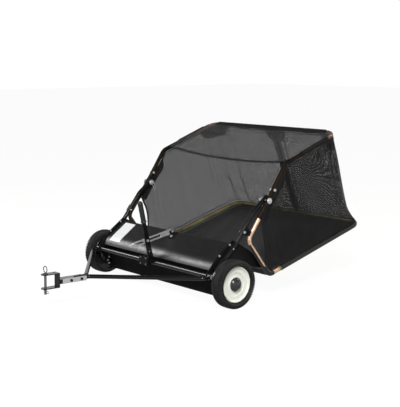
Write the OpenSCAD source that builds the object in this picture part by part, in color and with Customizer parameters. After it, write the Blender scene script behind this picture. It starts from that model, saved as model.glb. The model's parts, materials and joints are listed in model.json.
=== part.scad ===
// Tow-behind lawn sweeper with a folding-frame mesh hopper.
// Origin on the ground under the middle of the wheel axle, +Z up.
// -Y points forwards to the hitch, +Y back to the hopper, +X to the sweeper's left.

/* [Wheels] */
// Rolling radius of the tyre
wheel_r = 127; // [120:1:135]
// Width of the tyre
tyre_w = 76; // [60:1:80]
// Overall width over the two tyres
overall_w = 1192; // [1170:2:1240]
// Radius of the rim that the tyre sits on
rim_r = 92; // [86:1:94]
// Radius of the stub axle
axle_r = 8; // [6:0.5:10]

/* [Brush drive] */
// Gear module
gear_module = 3; // [3:0.1:3.1]
// Teeth on the internal gear ring in each wheel
ring_teeth = 65; // [65, 66]
// Teeth on each brush pinion
pinion_teeth = 13; // [13]
// Height of the brush axis below the wheel axis
brush_drop = 16; // [8:1:24]
// Radius over the bristles
brush_r = 95; // [85:1:96]
// Length of the bristle rows
brush_len = 910; // [800:10:920]

/* [Housing] */
// Distance between the outer faces of the side plates
housing_w = 944; // [900:2:946]
// Sheet thickness of the cover, shield and side plates
sheet_t = 2; // [1.5:0.5:2]
// Slope of the cover
cover_slope = 34.4; // [32:0.2:36]
// Depth of the cover's rear edge behind the axle
cover_rear_y = 70; // [66:1:74]
// Height of the cover's rear edge
cover_rear_z = 314; // [310:1:318]

/* [Frame tubes] */
// Radius of the housing's side frame tubes
frame_tube_r = 12.5; // [11:0.5:12.5]
// Radius of the hopper's tubes
hopper_tube_r = 11.5; // [10:0.5:11.5]
// Wall thickness of all tubes
tube_wall = 1.8; // [1.5:0.1:2]
// Distance of the hopper's tubes from the middle plane
hopper_x = 512; // [512:1:513]

/* [Hopper] */
// Radius of the pins that the hopper swings on
hopper_pin_r = 6; // [5:0.5:7]
// Corner radius of the rear hoops
hoop_bend_r = 70; // [60:5:90]
// Thickness of the fabric panels
panel_t = 2; // [1.5:0.5:3]

/* [Draw frame] */
// Radius of the crossbar that the draw frame turns with
crossbar_r = 12.5; // [11:0.5:12.5]
// Downward slope of the draw frame
draw_slope = 2.2; // [1:0.1:3]
// Length of the height lever
lever_len = 328; // [300:4:360]
// Radius of the hitch pin
hitch_pin_r = 6.35; // [6:0.05:7]

/* [Hidden] */
$fn = 48;

// Running clearance on radius between a shaft and its hole
running_gap = 0.08;
// Gap between neighbouring pieces that do not touch
free_gap = 0.5;
// Hairline gap where a tube's straights meet its bends
butt_gap = 0.03;

// Wheel stations along X
tyre_out_x = overall_w / 2;
tyre_in_x = tyre_out_x - tyre_w;
gear_in_x = tyre_in_x - 13;
gear_w = 11.5;
hub_in_x = tyre_in_x + 4;
hub_out_x = tyre_out_x - 23;
dish_x = tyre_out_x - 20;
hub_r = 17;

// Brush axis, in mesh with the ring gears
centre_distance = gear_module * (ring_teeth - pinion_teeth) / 2;
brush_y = sqrt(centre_distance * centre_distance - brush_drop * brush_drop);
brush_z = wheel_r - brush_drop;
mesh_angle = atan2(-brush_drop, brush_y);
pressure_angle = 20;
shaft_r = 9;
shaft_half = gear_in_x + gear_w - 0.5;
core_r = 20;
fin_r = 52;
fin_t = 9;

// Housing
plate_out_x = housing_w / 2;
plate_in_x = plate_out_x - sheet_t;
cover_x = plate_in_x - 0.4;
cover_tan = tan(cover_slope);
cover_bend_r = 110;
cover_front_y = -81.6;
cover_bend_y = cover_front_y + cover_bend_r * (1 - sin(cover_slope));
cover_bend_z = cover_rear_z - cover_tan * (cover_rear_y - cover_bend_y);
cover_centre = [
    cover_bend_y + cover_bend_r * sin(cover_slope),
    cover_bend_z - cover_bend_r * cos(cover_slope)
];
lip_z = 191;
shield_y = -26;
shield_bottom_z = 48;

// Side frame tubes, in the YZ plane
frame_x = plate_out_x + 0.5 + frame_tube_r;
frame_path = [[-62, 189], [85, 316], [204, 464], [304, 538]];
frame_bend_r = 70;
stop_x = frame_x + frame_tube_r + 0.2;
stop_t = 2.4;

// Crossbar axis, which is also the axis that the draw frame turns on
bar_y = -90;
bar_z = wheel_r + 38;
bar_half = frame_x + 9;

// Hopper outline in the YZ plane
pivot = [284, 520];
nose = [141, 327];
shoulder = [411, 703];
top_rear = [814, 847];
floor_front = [299, 122];
floor_rear = [1034, 322];
arm_dir = (pivot - nose) / norm(pivot - nose);
arm_knee = pivot + 40 * arm_dir;
arm_start = nose + 100 * arm_dir;
top_dir = (top_rear - shoulder) / norm(top_rear - shoulder);
floor_dir = (floor_rear - floor_front) / norm(floor_rear - floor_front);
back_dir = (floor_rear - top_rear) / norm(floor_rear - top_rear);
strut_dir = (floor_front - nose) / norm(floor_front - nose);
top_len = norm(top_rear - shoulder);
floor_len = norm(floor_rear - floor_front);
back_len = norm(floor_rear - top_rear);
top_angle = atan2(top_dir.y, top_dir.x);
floor_angle = atan2(floor_dir.y, floor_dir.x);
back_angle = atan2(back_dir.y, back_dir.x);
top_joint_s = 190;
floor_joint_s = 75;
spigot_len = 30;
corner_bend_r = 38;
panel_edge = hopper_tube_r + 1.5;
front_tube_yz = floor_front + 7.2 * (floor_dir - strut_dir) / norm(floor_dir - strut_dir);
strut_path = [arm_start, nose, floor_front, floor_front + floor_joint_s * floor_dir];
stay_x = 18;
stay_r = 8;

// Height lever and slotted strap, in the YZ plane
lever_x = 7;
lever_t = 6;
lever_w = 25;
lever_foot_w = 36;
lever_foot = [bar_y - 8, bar_z];
lever_lean = 12.5;
lever_dir = [-sin(lever_lean), cos(lever_lean)];
clamp_yz = lever_foot + 124.5 * lever_dir;
strap_yz = [48, 317];
strap_x = 3.4;
strap_t = 3;
strap_w = 28;
strap_len = 272;
strap_angle = atan2(clamp_yz.y - strap_yz.y, clamp_yz.x - strap_yz.x);
slot_r = 6.4;
slot_from = 83;
slot_to = 258;
bracket_y = 34;
bracket_bolt_x = strap_x + 21;

// Draw frame, measured forwards of the crossbar in its own sloping plane
drawbar_r = 11;
junction_s = 421;
bar_end_s = 486;
hitch_rise = 3.2;
strap_plate_t = 3;
hitch_pin_s = 670;
hitch_back_s = 598;
arm_top = 41;
arm_bottom = -25;
arm_t = 5;

// Hex heads and shanks
bolt_r = 4;
screw_r = 2.5;
head_r = 7.5;
head_h = 5;

// ---------- helpers ----------

// Draws children on both sides of the middle plane
module both_sides() {
    children();
    mirror([1, 0, 0]) children();
}

// Draws children once, on the +X side or mirrored on the -X side
module on_side(side) {
    if (side > 0) children();
    else mirror([1, 0, 0]) children();
}

// Takes a flat shape into the YZ plane at the given X and gives it a thickness along +X
module yz_plate(x, t) {
    translate([x, 0, 0]) rotate([90, 0, 90]) linear_extrude(t) children();
}

// Round bar along +X from x0 to x1 through a YZ point
module x_rod(x0, x1, yz, r) {
    translate([x0, yz.x, yz.y]) rotate([0, 90, 0]) cylinder(r = r, h = x1 - x0);
}

// Hex prism along +X
module x_hex(x0, x1, yz, r) {
    translate([x0, yz.x, yz.y]) rotate([0, 90, 0]) cylinder(r = r, h = x1 - x0, $fn = 6);
}

// Turning angle at corner i of a path
function turn(pts, i) =
    let (u = pts[i] - pts[i - 1], v = pts[i + 1] - pts[i])
    atan2(u.x * v.y - u.y * v.x, u.x * v.x + u.y * v.y);

// Length that the bend at corner i takes off each straight
function trim(pts, i, bend_r) = bend_r * tan(abs(turn(pts, i)) / 2);

// Unit direction of straight i of a path
function dir_of(pts, i) = (pts[i + 1] - pts[i]) / norm(pts[i + 1] - pts[i]);

// Round bar or tube along a flat path with rounded corners, as straight and curved lengths
// that butt together with a hairline gap
module bent_tube(pts, r, bend_r, bore_r = 0) {
    last = len(pts) - 1;
    for (i = [0:last - 1]) {
        u = dir_of(pts, i);
        from_start = i == 0 ? 0 : trim(pts, i, bend_r) + butt_gap;
        from_end = i == last - 1 ? 0 : trim(pts, i + 1, bend_r) + butt_gap;
        long = norm(pts[i + 1] - pts[i]) - from_start - from_end;
        translate(pts[i] + u * from_start)
            rotate([0, 0, atan2(u.y, u.x)])
            rotate([0, 90, 0])
            difference() {
                cylinder(r = r, h = long);
                if (bore_r > 0) translate([0, 0, -1]) cylinder(r = bore_r, h = long + 2);
            }
    }
    for (i = [1:1:last - 1]) {
        u = dir_of(pts, i - 1);
        bend = turn(pts, i);
        side = sign(bend);
        centre = pts[i] - u * trim(pts, i, bend_r) + side * bend_r * [-u.y, u.x];
        translate(centre)
            rotate([0, 0, atan2(u.y, u.x) - 90 * side + min(bend, 0)])
            rotate_extrude(angle = abs(bend))
            translate([bend_r, 0])
            difference() {
                circle(r = r);
                if (bore_r > 0) circle(r = bore_r);
            }
    }
}

// Takes a path drawn in the local XY plane into the YZ plane at the given X
module in_yz(x) {
    translate([x, 0, 0]) rotate([90, 0, 90]) children();
}

// Places a sloping plane: local X stays X, local Y runs along the slope from a YZ point
module in_slope(yz, angle) {
    translate([0, yz.x, yz.y]) rotate([angle, 0, 0]) children();
}

// Bolt with a hex head at x0 and a shank reaching along +X, or along -X when len is negative
module x_bolt(x0, len, yz, r = bolt_r) {
    way = sign(len);
    x_rod(min(x0, x0 + len), max(x0, x0 + len), yz, r);
    x_hex(min(x0, x0 - way * head_h), max(x0, x0 - way * head_h), yz, r + 3.5);
}

// Half angle of an involute tooth at radius r
function inv_deg(a) = tan(a) * 180 / PI - a;
function flank(r, pitch_r, half_deg) =
    let (base_r = pitch_r * cos(pressure_angle), a = r > base_r ? acos(base_r / r) : 0)
    half_deg + inv_deg(pressure_angle) - inv_deg(a);

// Outline of a spur gear whose tooth 0 points along +X; slim takes width off each flank
module gear_outline(teeth, root_r, tip_r, slim) {
    pitch_r = gear_module * teeth / 2;
    half = 90 / teeth - slim / pitch_r * 180 / PI;
    steps = [root_r, (root_r + pitch_r) / 2, pitch_r, tip_r];
    polygon([
        for (k = [0:teeth - 1])
            let (a = 360 * k / teeth)
            for (q = [-4:3])
                let (r = steps[q < 0 ? 4 + q : 3 - q], f = flank(r, pitch_r, half))
                let (b = a + (q < 0 ? -f : f))
                [r * cos(b), r * sin(b)]
    ]);
}

// ---------- housing ----------

// Section of a skin that follows the cover, between two heights above its outer face
module cover_section(low, high) {
    straight = (cover_rear_y - cover_bend_y) / cos(cover_slope);
    reach = 2 * cover_bend_r;
    translate([cover_rear_y, cover_rear_z])
        rotate([0, 0, 180 + cover_slope])
        translate([0, -high])
        square([straight, high - low]);
    difference() {
        intersection() {
            translate(cover_centre) circle(r = cover_bend_r + high, $fn = 180);
            translate([cover_centre.x - reach, lip_z]) square([reach, reach]);
            translate([cover_bend_y, cover_bend_z])
                rotate([0, 0, 90 + cover_slope])
                translate([high - reach, 0])
                square([reach, reach]);
        }
        translate(cover_centre) circle(r = cover_bend_r + low, $fn = 180);
    }
}

module cover() {
    color([0.05, 0.05, 0.055])
        difference() {
            yz_plate(-cover_x, 2 * cover_x) {
                cover_section(-sheet_t, 0);
                // Folded hem along the rear edge
                translate([cover_rear_y - sheet_t, cover_rear_z - 20]) square([sheet_t, 19.5]);
            }
            // Hole for the strap bracket's bolt
            at_bracket() translate([bracket_bolt_x, 0, -10]) cylinder(r = bolt_r + 0.1, h = 20);
        }
}

module front_shield() {
    color([0.09, 0.09, 0.09])
        translate([-cover_x, shield_y, shield_bottom_z]) {
            cube([2 * cover_x, sheet_t, 165]);
            cube([2 * cover_x, 14, sheet_t]);
        }
}

// Outline of a side plate in the YZ plane
module plate_outline() {
    proud = 18;
    polygon([
        [bar_y - 22, bar_z - 8], [bar_y - 22, bar_z + 8], [bar_y - 13, bar_z + 20],
        [cover_bend_y, cover_bend_z + proud],
        [cover_rear_y, cover_rear_z + proud], [cover_rear_y + 34, cover_rear_z],
        [190, 262], [284, 196], [284, 154], [205, 174], [150, 60], [130, shield_bottom_z],
        [-30, shield_bottom_z], [bar_y, bar_z - 22], [bar_y - 13, bar_z - 20]
    ]);
}

module side_plate(side) {
    color([0.06, 0.06, 0.06])
        on_side(side)
        difference() {
            yz_plate(plate_in_x, sheet_t) plate_outline();
            x_rod(plate_in_x - 1, plate_out_x + 1, [0, wheel_r], axle_r + 0.02);
            x_rod(plate_in_x - 1, plate_out_x + 1, [brush_y, brush_z], shaft_r + 5);
            x_rod(plate_in_x - 1, plate_out_x + 1, [bar_y, bar_z], crossbar_r + 3);
            for (p = frame_bolt_spots()) x_rod(plate_in_x - 1, plate_out_x + 1, p, bolt_r + 0.2);
            for (p = concat(flange_bolt_spots(), shield_bolt_spots()))
                x_rod(plate_in_x - 1, plate_out_x + 1, p, screw_r + 0.2);
        }
}

// Screws through the plate's top flange, just above the cover
function flange_bolt_spots() =
    [for (y = [-17, 54])
        [y, cover_rear_z - cover_tan * (cover_rear_y - y)]
            + 8 * [-sin(cover_slope), cos(cover_slope)]];

// Screws through the plate in front of the shield
function shield_bolt_spots() = [[-46, 92], [-37, 74], [-38, 110]];

// Bolts that tie each frame tube to its side plate, along the lower straight
function frame_bolt_spots() =
    let (a = frame_path[0], b = frame_path[1])
    [for (t = [0.28, 0.8]) a + t * (b - a)];

// Bolt through the frame tube that holds the hopper stop
function tube_bolt_spot() = frame_path[1] + 0.36 * (frame_path[2] - frame_path[1]);

module frame_tube(side) {
    color([0.04, 0.04, 0.04])
        on_side(side)
        difference() {
            in_yz(frame_x)
                bent_tube(frame_path, frame_tube_r, frame_bend_r, frame_tube_r - tube_wall);
            for (p = concat(frame_bolt_spots(), [tube_bolt_spot()]))
                x_rod(frame_x - 20, frame_x + 20, p, bolt_r + 0.2);
            x_rod(frame_x - 20, frame_x + 20, pivot, hopper_pin_r + 0.02);
        }
}

module housing_bolts() {
    color([0.75, 0.75, 0.76])
        both_sides() {
            for (p = frame_bolt_spots())
                x_bolt(plate_in_x - 1, frame_x + frame_tube_r - plate_in_x + 2, p);
            x_bolt(stop_x + stop_t + 0.2, -(2 * frame_tube_r + stop_t + 6), tube_bolt_spot());
            for (p = flange_bolt_spots()) {
                x_bolt(plate_out_x + 0.2, -8, p, screw_r);
                x_hex(plate_in_x - 3.2, plate_in_x - 0.2, p, screw_r + 2.5);
            }
            for (p = shield_bolt_spots()) x_bolt(plate_in_x - 0.2, 6, p, screw_r);
        }
}

module stub_axles() {
    color([0.6, 0.6, 0.6])
        both_sides() {
            x_rod(plate_in_x - 14, hub_out_x + 15, [0, wheel_r], axle_r);
            x_rod(plate_out_x, hub_in_x - free_gap, [0, wheel_r], axle_r + 5);
        }
}

module axle_nuts() {
    color([0.72, 0.72, 0.72])
        both_sides() {
            for (x = [plate_in_x - 8.2, hub_out_x + 0.6])
                difference() {
                    x_hex(x, x + 8, [0, wheel_r], 13.5);
                    x_rod(x - 1, x + 9, [0, wheel_r], axle_r + 0.02);
                }
        }
}

// Flanged bush: flange inside the plate, sleeve through it
module plate_bush(yz, bore_r, sleeve_r) {
    difference() {
        union() {
            x_rod(plate_in_x - 3, plate_in_x, yz, sleeve_r + 5);
            x_rod(plate_in_x - 3, plate_out_x + 2, yz, sleeve_r - 0.02);
        }
        x_rod(plate_in_x - 4, plate_out_x + 3, yz, bore_r + running_gap);
    }
}

module brush_bushings() {
    color([0.85, 0.83, 0.75]) both_sides() plate_bush([brush_y, brush_z], shaft_r, shaft_r + 5);
}

module crossbar_bushings() {
    color([0.12, 0.12, 0.12]) both_sides() plate_bush([bar_y, bar_z], crossbar_r, crossbar_r + 3);
}

// Puts children on the cover's slope under the strap's rear end
module at_bracket() {
    in_slope([bracket_y, cover_rear_z - cover_tan * (cover_rear_y - bracket_y)], cover_slope)
        children();
}

module strap_bracket() {
    color([0.05, 0.05, 0.05])
        difference() {
            at_bracket() {
                translate([strap_x + strap_t + 0.6, -14, 0.2]) cube([30, 50, 3]);
                translate([strap_x + strap_t + 0.6, 10, 1]) cube([3, 26, 24]);
            }
            x_rod(strap_x, strap_x + 12, strap_yz, bolt_r + 0.05);
            at_bracket() translate([bracket_bolt_x, 0, -1]) cylinder(r = bolt_r + 0.1, h = 8);
        }
}

module strap_pivot_bolt() {
    color([0.75, 0.75, 0.76]) {
        x_bolt(strap_x + strap_t + 3.8, -(strap_t + 8), strap_yz);
        at_bracket()
            translate([bracket_bolt_x, 0, -6]) {
                cylinder(r = bolt_r, h = 12);
                translate([0, 0, 9.4]) cylinder(r = head_r, h = head_h, $fn = 6);
            }
    }
}

// Blank label that follows the cover from its slope on to its bend
module label_plate() {
    color([0.92, 0.92, 0.92])
        yz_plate(-427, 93)
            intersection() {
                cover_section(0.3, 0.9);
                translate([cover_rear_y, cover_rear_z])
                    rotate([0, 0, 180 + cover_slope])
                    translate([14, -40])
                    square([148, 80]);
            }
}

module hopper_pins() {
    color([0.78, 0.78, 0.78])
        both_sides() {
            x_rod(frame_x - 30, hopper_x + hopper_tube_r + 6, pivot, hopper_pin_r);
            x_rod(hopper_x + hopper_tube_r + 5, hopper_x + hopper_tube_r + 9, pivot, 10);
        }
}

module pivot_washers() {
    color([0.8, 0.8, 0.8])
        both_sides()
            for (w = [[frame_x - frame_tube_r - 2.5, 1.9], [hopper_x + hopper_tube_r + 0.4, 4.3]])
                difference() {
                    x_rod(w[0], w[0] + w[1], pivot, 15);
                    x_rod(w[0] - 1, w[0] + w[1] + 1, pivot, hopper_pin_r + 0.3);
                }
}

// Spring clip at the inner end of each pin: two wires astride the pin, joined below it
module hairpins() {
    half = hopper_pin_r + 1.4;
    color([0.8, 0.8, 0.8])
        both_sides()
            translate([frame_x - 24, pivot.x, pivot.y])
            rotate([30, 0, 0])
            rotate([90, 0, 90])
            bent_tube([[-half, 14], [-half, -40], [half, -40], [half, 14]], 1.2, half - 0.3);
}

// Pads in front of the hopper arms that hold the hopper up at rest
module hopper_stops() {
    pad = nose + 34 * arm_dir + (hopper_tube_r + 3) * [-arm_dir.y, arm_dir.x];
    arm_angle = atan2(arm_dir.y, arm_dir.x);
    color([0.05, 0.05, 0.05])
        both_sides()
            difference() {
                union() {
                    yz_plate(stop_x, stop_t)
                        translate(pad)
                        rotate(arm_angle)
                        translate([-18, -2])
                        square([40, 32]);
                    yz_plate(stop_x, 26)
                        translate(pad)
                        rotate(arm_angle)
                        translate([-14, -2])
                        square([28, 4]);
                }
                x_rod(frame_x, frame_x + 20, tube_bolt_spot(), bolt_r + 0.2);
            }
}

// ---------- wheels ----------

// Rounded rectangle from exact squares and circles
module round_rect(w, h, r) {
    translate([r, 0]) square([w - 2 * r, h]);
    translate([0, r]) square([w, h - 2 * r]);
    for (x = [r, w - r], y = [r, h - r]) translate([x, y]) circle(r = r);
}

// Turns a profile drawn as (radius, X station) about the wheel axis of one side
module about_axle(side) {
    on_side(side) translate([0, 0, wheel_r]) rotate([0, 90, 0]) rotate_extrude($fn = 128) children();
}

module tyre(side) {
    color([0.16, 0.16, 0.16])
        about_axle(side)
        difference() {
            translate([rim_r + 1, tyre_in_x]) round_rect(wheel_r - rim_r - 1, tyre_w, 11);
            for (k = [-2:2])
                translate([wheel_r - 2, (tyre_in_x + tyre_out_x) / 2 + 12 * k - 1.5]) square([4, 3]);
        }
}

module wheel_disc(side) {
    color([0.86, 0.87, 0.82])
        about_axle(side) {
            // Barrel
            translate([rim_r - 4, tyre_in_x + 0.5]) square([4, dish_x - tyre_in_x]);
            // Dished web, stepped towards the hub
            polygon([
                [rim_r - 1, dish_x - 3], [rim_r - 1, dish_x + 7], [rim_r - 4, dish_x + 7],
                [rim_r - 8, dish_x + 1], [rim_r - 14, dish_x - 3], [62, dish_x - 3],
                [57, dish_x - 7], [46, dish_x - 7], [40, dish_x - 4], [hub_r - 1, dish_x - 4], [hub_r - 1, dish_x - 8],
                [38, dish_x - 8], [44, dish_x - 11], [59, dish_x - 11], [64, dish_x - 7],
                [rim_r - 12, dish_x - 7], [rim_r - 5, dish_x - 3]
            ]);
            // Hub tube
            translate([axle_r + running_gap, hub_in_x])
                square([hub_r - axle_r - running_gap, hub_out_x - hub_in_x]);
        }
}

module hub_cap(side) {
    dome_r = 42;
    cap_r = 36.5;
    sink = sqrt(dome_r * dome_r - cap_r * cap_r);
    color([0.1, 0.1, 0.1])
        about_axle(side)
        translate([0, dish_x - 3.9]) {
            intersection() {
                difference() {
                    translate([0, 4 - sink]) circle(r = dome_r, $fn = 128);
                    translate([0, 4 - sink]) circle(r = dome_r - 2.5, $fn = 128);
                }
                translate([0, 4]) square([cap_r, 40]);
            }
            translate([cap_r - 3, 0]) square([3, 4.01]);
        }
}

module ring_gear(side) {
    pitch_r = gear_module * ring_teeth / 2;
    outer_r = pitch_r + 9;
    color([0.12, 0.12, 0.13])
        on_side(side)
        difference() {
            union() {
                x_rod(gear_in_x, gear_in_x + gear_w, [0, wheel_r], outer_r);
                x_rod(gear_in_x + gear_w, tyre_in_x - 0.2, [0, wheel_r], outer_r);
                x_rod(tyre_in_x - 1, tyre_in_x + 5, [0, wheel_r], rim_r - 4.2);
            }
            translate([gear_in_x - 1, 0, wheel_r])
                rotate([90, 0, 90])
                rotate([0, 0, mesh_angle])
                linear_extrude(gear_w + 1)
                gear_outline(ring_teeth, pitch_r - 0.8 * gear_module, pitch_r + 1.15 * gear_module, -0.3);
            x_rod(gear_in_x, tyre_in_x + 8, [0, wheel_r], 60);
        }
}

// ---------- brush ----------

module brush_shaft() {
    color([0.6, 0.6, 0.62])
        x_rod(-shaft_half, shaft_half, [brush_y, brush_z], shaft_r);
}

module pinions() {
    pitch_r = gear_module * pinion_teeth / 2;
    color([0.7, 0.68, 0.6])
        both_sides()
            difference() {
                translate([gear_in_x + 0.5, brush_y, brush_z])
                    rotate([90, 0, 90])
                    rotate([0, 0, mesh_angle])
                    linear_extrude(gear_w - 1.5)
                    gear_outline(
                        pinion_teeth, pitch_r - 1.15 * gear_module, pitch_r + 0.8 * gear_module, 0.3
                    );
                x_rod(gear_in_x - 1, gear_in_x + gear_w, [brush_y, brush_z], shaft_r + 0.02);
            }
}

// Drive collars on the shaft, just inside the pinions
module drive_pins() {
    color([0.55, 0.55, 0.55])
        both_sides()
            difference() {
                x_rod(gear_in_x - 14, gear_in_x + 0.3, [brush_y, brush_z], shaft_r + 5);
                x_rod(gear_in_x - 15, gear_in_x + 1, [brush_y, brush_z], shaft_r + 0.02);
            }
}

module brush_core() {
    half = brush_len / 2 + 6;
    color([0.2, 0.2, 0.2])
        difference() {
            union() {
                x_rod(-half, half, [brush_y, brush_z], core_r);
                for (a = [0:90:270])
                    translate([-half, brush_y, brush_z])
                        rotate([a + 45, 0, 0])
                        translate([0, -fin_t / 2, core_r - 2])
                        cube([2 * half, fin_t, fin_r - core_r + 2]);
            }
            x_rod(-half - 1, half + 1, [brush_y, brush_z], shaft_r + 0.02);
        }
}

module bristle_strips() {
    color([0.12, 0.12, 0.12])
        for (a = [0:90:270])
            translate([-brush_len / 2, brush_y, brush_z])
                rotate([a + 45, 0, 0])
                translate([0, -7, fin_r + 0.2])
                cube([brush_len, 14, sqrt(brush_r * brush_r - 49) - fin_r - 0.2]);
}

module brush_bolts() {
    color([0.7, 0.7, 0.7])
        for (a = [0:90:270], x = [-360:180:360])
            translate([x, brush_y, brush_z])
                rotate([a + 45, 0, 0])
                translate([0, fin_t / 2 + 0.1, fin_r - 14])
                rotate([-90, 0, 0])
                cylinder(r = 6, h = 4, $fn = 6);
}

// ---------- draw frame ----------

// Places children in the draw frame's plane: -Y forwards from the crossbar axis
module in_draw() {
    translate([0, bar_y, bar_z]) rotate([draw_slope, 0, 0]) children();
}

// Places children in the hitch's plane, which rises a little from the drawbars' rear hitch bolt
module in_hitch() {
    s = hitch_bolt_spots()[0];
    in_draw() translate([0, -s, 0]) rotate([-hitch_rise, 0, 0]) translate([0, s, 0]) children();
}

module crossbar() {
    color([0.04, 0.04, 0.04])
        difference() {
            x_rod(-bar_half, bar_half, [bar_y, bar_z], crossbar_r);
            x_rod(-bar_half - 1, bar_half + 1, [bar_y, bar_z], crossbar_r - tube_wall);
        }
}

module drawbar(side) {
    path = [[frame_x, -16], [frame_x, -46], [drawbar_r + 0.6, -junction_s], [drawbar_r + 0.6, -bar_end_s]];
    color([0.04, 0.04, 0.04])
        on_side(side)
        in_draw()
        difference() {
            union() {
                bent_tube(path, drawbar_r, 26);
                translate([frame_x - 9, 0, 0]) rotate([0, 90, 0]) cylinder(r = crossbar_r + 6, h = 18);
            }
            translate([frame_x - 30, 0, 0])
                rotate([0, 90, 0])
                cylinder(r = crossbar_r + 0.02, h = 60);
            translate([-30, -hitch_bolt_spots()[0], 0])
                rotate([0, 90, 0])
                cylinder(r = bolt_r + 0.2, h = 60);
        }
}

function hitch_bolt_spots() = [bar_end_s - 15, hitch_back_s - 65];

module hitch_straps() {
    color([0.75, 0.76, 0.77])
        in_hitch()
        both_sides()
            difference() {
                translate([2 * drawbar_r + 1.3, -hitch_back_s + 14, -12])
                    cube([strap_plate_t, hitch_back_s - 14 - bar_end_s + 45, 24]);
                for (s = hitch_bolt_spots())
                    translate([0, -s, 0]) rotate([0, 90, 0]) cylinder(r = bolt_r + 0.2, h = 60);
            }
}

module hitch_bolts() {
    color([0.7, 0.7, 0.7])
        in_hitch()
        for (s = hitch_bolt_spots())
            translate([-28, -s, 0]) {
                rotate([0, 90, 0]) cylinder(r = bolt_r, h = 56);
                translate([-3, 0, 0]) rotate([0, 90, 0]) cylinder(r = head_r, h = head_h - 0.6, $fn = 6);
                translate([54.3, 0, 0]) rotate([0, 90, 0]) cylinder(r = head_r, h = head_h, $fn = 6);
            }
}

// U-shaped clevis: back plate, two arms with pin holes, and a tongue between the straps
module hitch_clevis() {
    color([0.05, 0.05, 0.05])
        in_hitch()
        difference() {
            union() {
                translate([-22, -hitch_back_s - 5, arm_bottom - arm_t])
                    cube([44, 5, arm_top - arm_bottom + 2 * arm_t]);
                for (z = [arm_bottom - arm_t, arm_top]) {
                    translate([-22, -hitch_pin_s, z]) cube([44, hitch_pin_s - hitch_back_s - 2, arm_t]);
                    translate([0, -hitch_pin_s, z]) cylinder(r = 22, h = arm_t);
                }
                translate([-2 * drawbar_r - 0.8, -hitch_back_s - 1, -11.5])
                    cube([4 * drawbar_r + 1.6, 80, 23]);
            }
            translate([0, -hitch_pin_s, arm_bottom - arm_t - 1])
                cylinder(r = hitch_pin_r + running_gap, h = arm_top - arm_bottom + 2 * arm_t + 2);
            for (s = hitch_bolt_spots())
                translate([-30, -s, 0]) rotate([0, 90, 0]) cylinder(r = bolt_r + 0.2, h = 60);
            // Spare hole for a safety chain in the top arm
            translate([0, -hitch_back_s - 22, arm_top - 1]) cylinder(r = 5.5, h = arm_t + 2);
        }
}

// Pin with a flange, a wire loop handle and a cross hole for the cotter
module hitch_pin() {
    top = arm_top + arm_t;
    color([0.75, 0.75, 0.76])
        in_hitch()
        translate([0, -hitch_pin_s, 0]) {
            difference() {
                union() {
                    translate([0, 0, arm_bottom - arm_t - 28])
                        cylinder(r = hitch_pin_r, h = top - arm_bottom + arm_t + 34);
                    translate([0, 0, top + 0.3]) cylinder(r = 13, h = 3);
                }
                for (drop = [9, 20])
                    translate([-15, 0, arm_bottom - arm_t - drop])
                        rotate([0, 90, 0])
                        cylinder(r = 1.8, h = 30);
            }
            translate([0, 0, top + 6 + 17.5])
                rotate([90, 0, 0])
                rotate_extrude()
                translate([16, 0])
                circle(r = 2.4, $fn = 24);
        }
}

// Hair cotter through the pin's cross holes, pulled out along +X
module hair_cotter() {
    color([0.8, 0.8, 0.8])
        in_hitch()
        translate([0, -hitch_pin_s, arm_bottom - arm_t - 9])
        rotate([90, 0, 0])
        bent_tube([[-20, 0], [28, 0], [28, -11], [-16, -11]], 1.5, 5.4);
}

// Hex-headed plugs in the crossbar's ends, which keep the drawbars on it
module drawbar_bolts() {
    color([0.75, 0.75, 0.76])
        both_sides() x_bolt(bar_half + 0.2, -14, [bar_y, bar_z], crossbar_r - tube_wall - 0.2);
}

// Clamp plates in front of and behind the crossbar, with a flange beside the lever
module lever_bracket() {
    color([0.05, 0.05, 0.05])
        difference() {
            union() {
                for (y = [bar_y - crossbar_r - 3.1, bar_y + crossbar_r + 0.1])
                    translate([-90, y, bar_z - 25]) cube([80, 3, 46]);
                translate([-14, bar_y - crossbar_r - 3.1, bar_z - 25]) cube([20.6, 3, 46]);
                translate([3.6, bar_y - crossbar_r - 26, bar_z - 25]) cube([3, 25, 46]);
            }
            for (x = [-73, -27], z = [-17, 17])
                translate([x, bar_y - 30, bar_z + z]) rotate([-90, 0, 0]) cylinder(r = 3.2, h = 60);
        }
}

module bracket_bolts() {
    color([0.78, 0.78, 0.78])
        for (x = [-73, -27], z = [-17, 17])
            translate([x, bar_y, bar_z + z])
                rotate([-90, 0, 0]) {
                    translate([0, 0, -crossbar_r - 7.5]) cylinder(r = 6, h = 4.3, $fn = 6);
                    translate([0, 0, -crossbar_r - 7]) cylinder(r = 3, h = 2 * crossbar_r + 12);
                }
}

module lever() {
    color([0.04, 0.04, 0.04])
        difference() {
            yz_plate(lever_x, lever_t)
                translate(lever_foot)
                rotate(lever_lean) {
                    polygon([
                        [-lever_foot_w / 2, -8], [lever_foot_w / 2, -8], [lever_w / 2, lever_len - 112],
                        [lever_w / 2, lever_len - 18], [-lever_w / 2, lever_len - 18],
                        [-lever_w / 2, lever_len - 112]
                    ]);
                    translate([-10, lever_len - 20]) square([20, 28]);
                }
            x_rod(lever_x - 1, lever_x + lever_t + 1, [bar_y, bar_z], crossbar_r + 0.05);
            x_rod(lever_x - 1, lever_x + lever_t + 1, clamp_yz, bolt_r + 0.05);
            x_rod(lever_x - 1, lever_x + lever_t + 1, lever_foot + 62 * lever_dir, bolt_r);
        }
}

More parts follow.
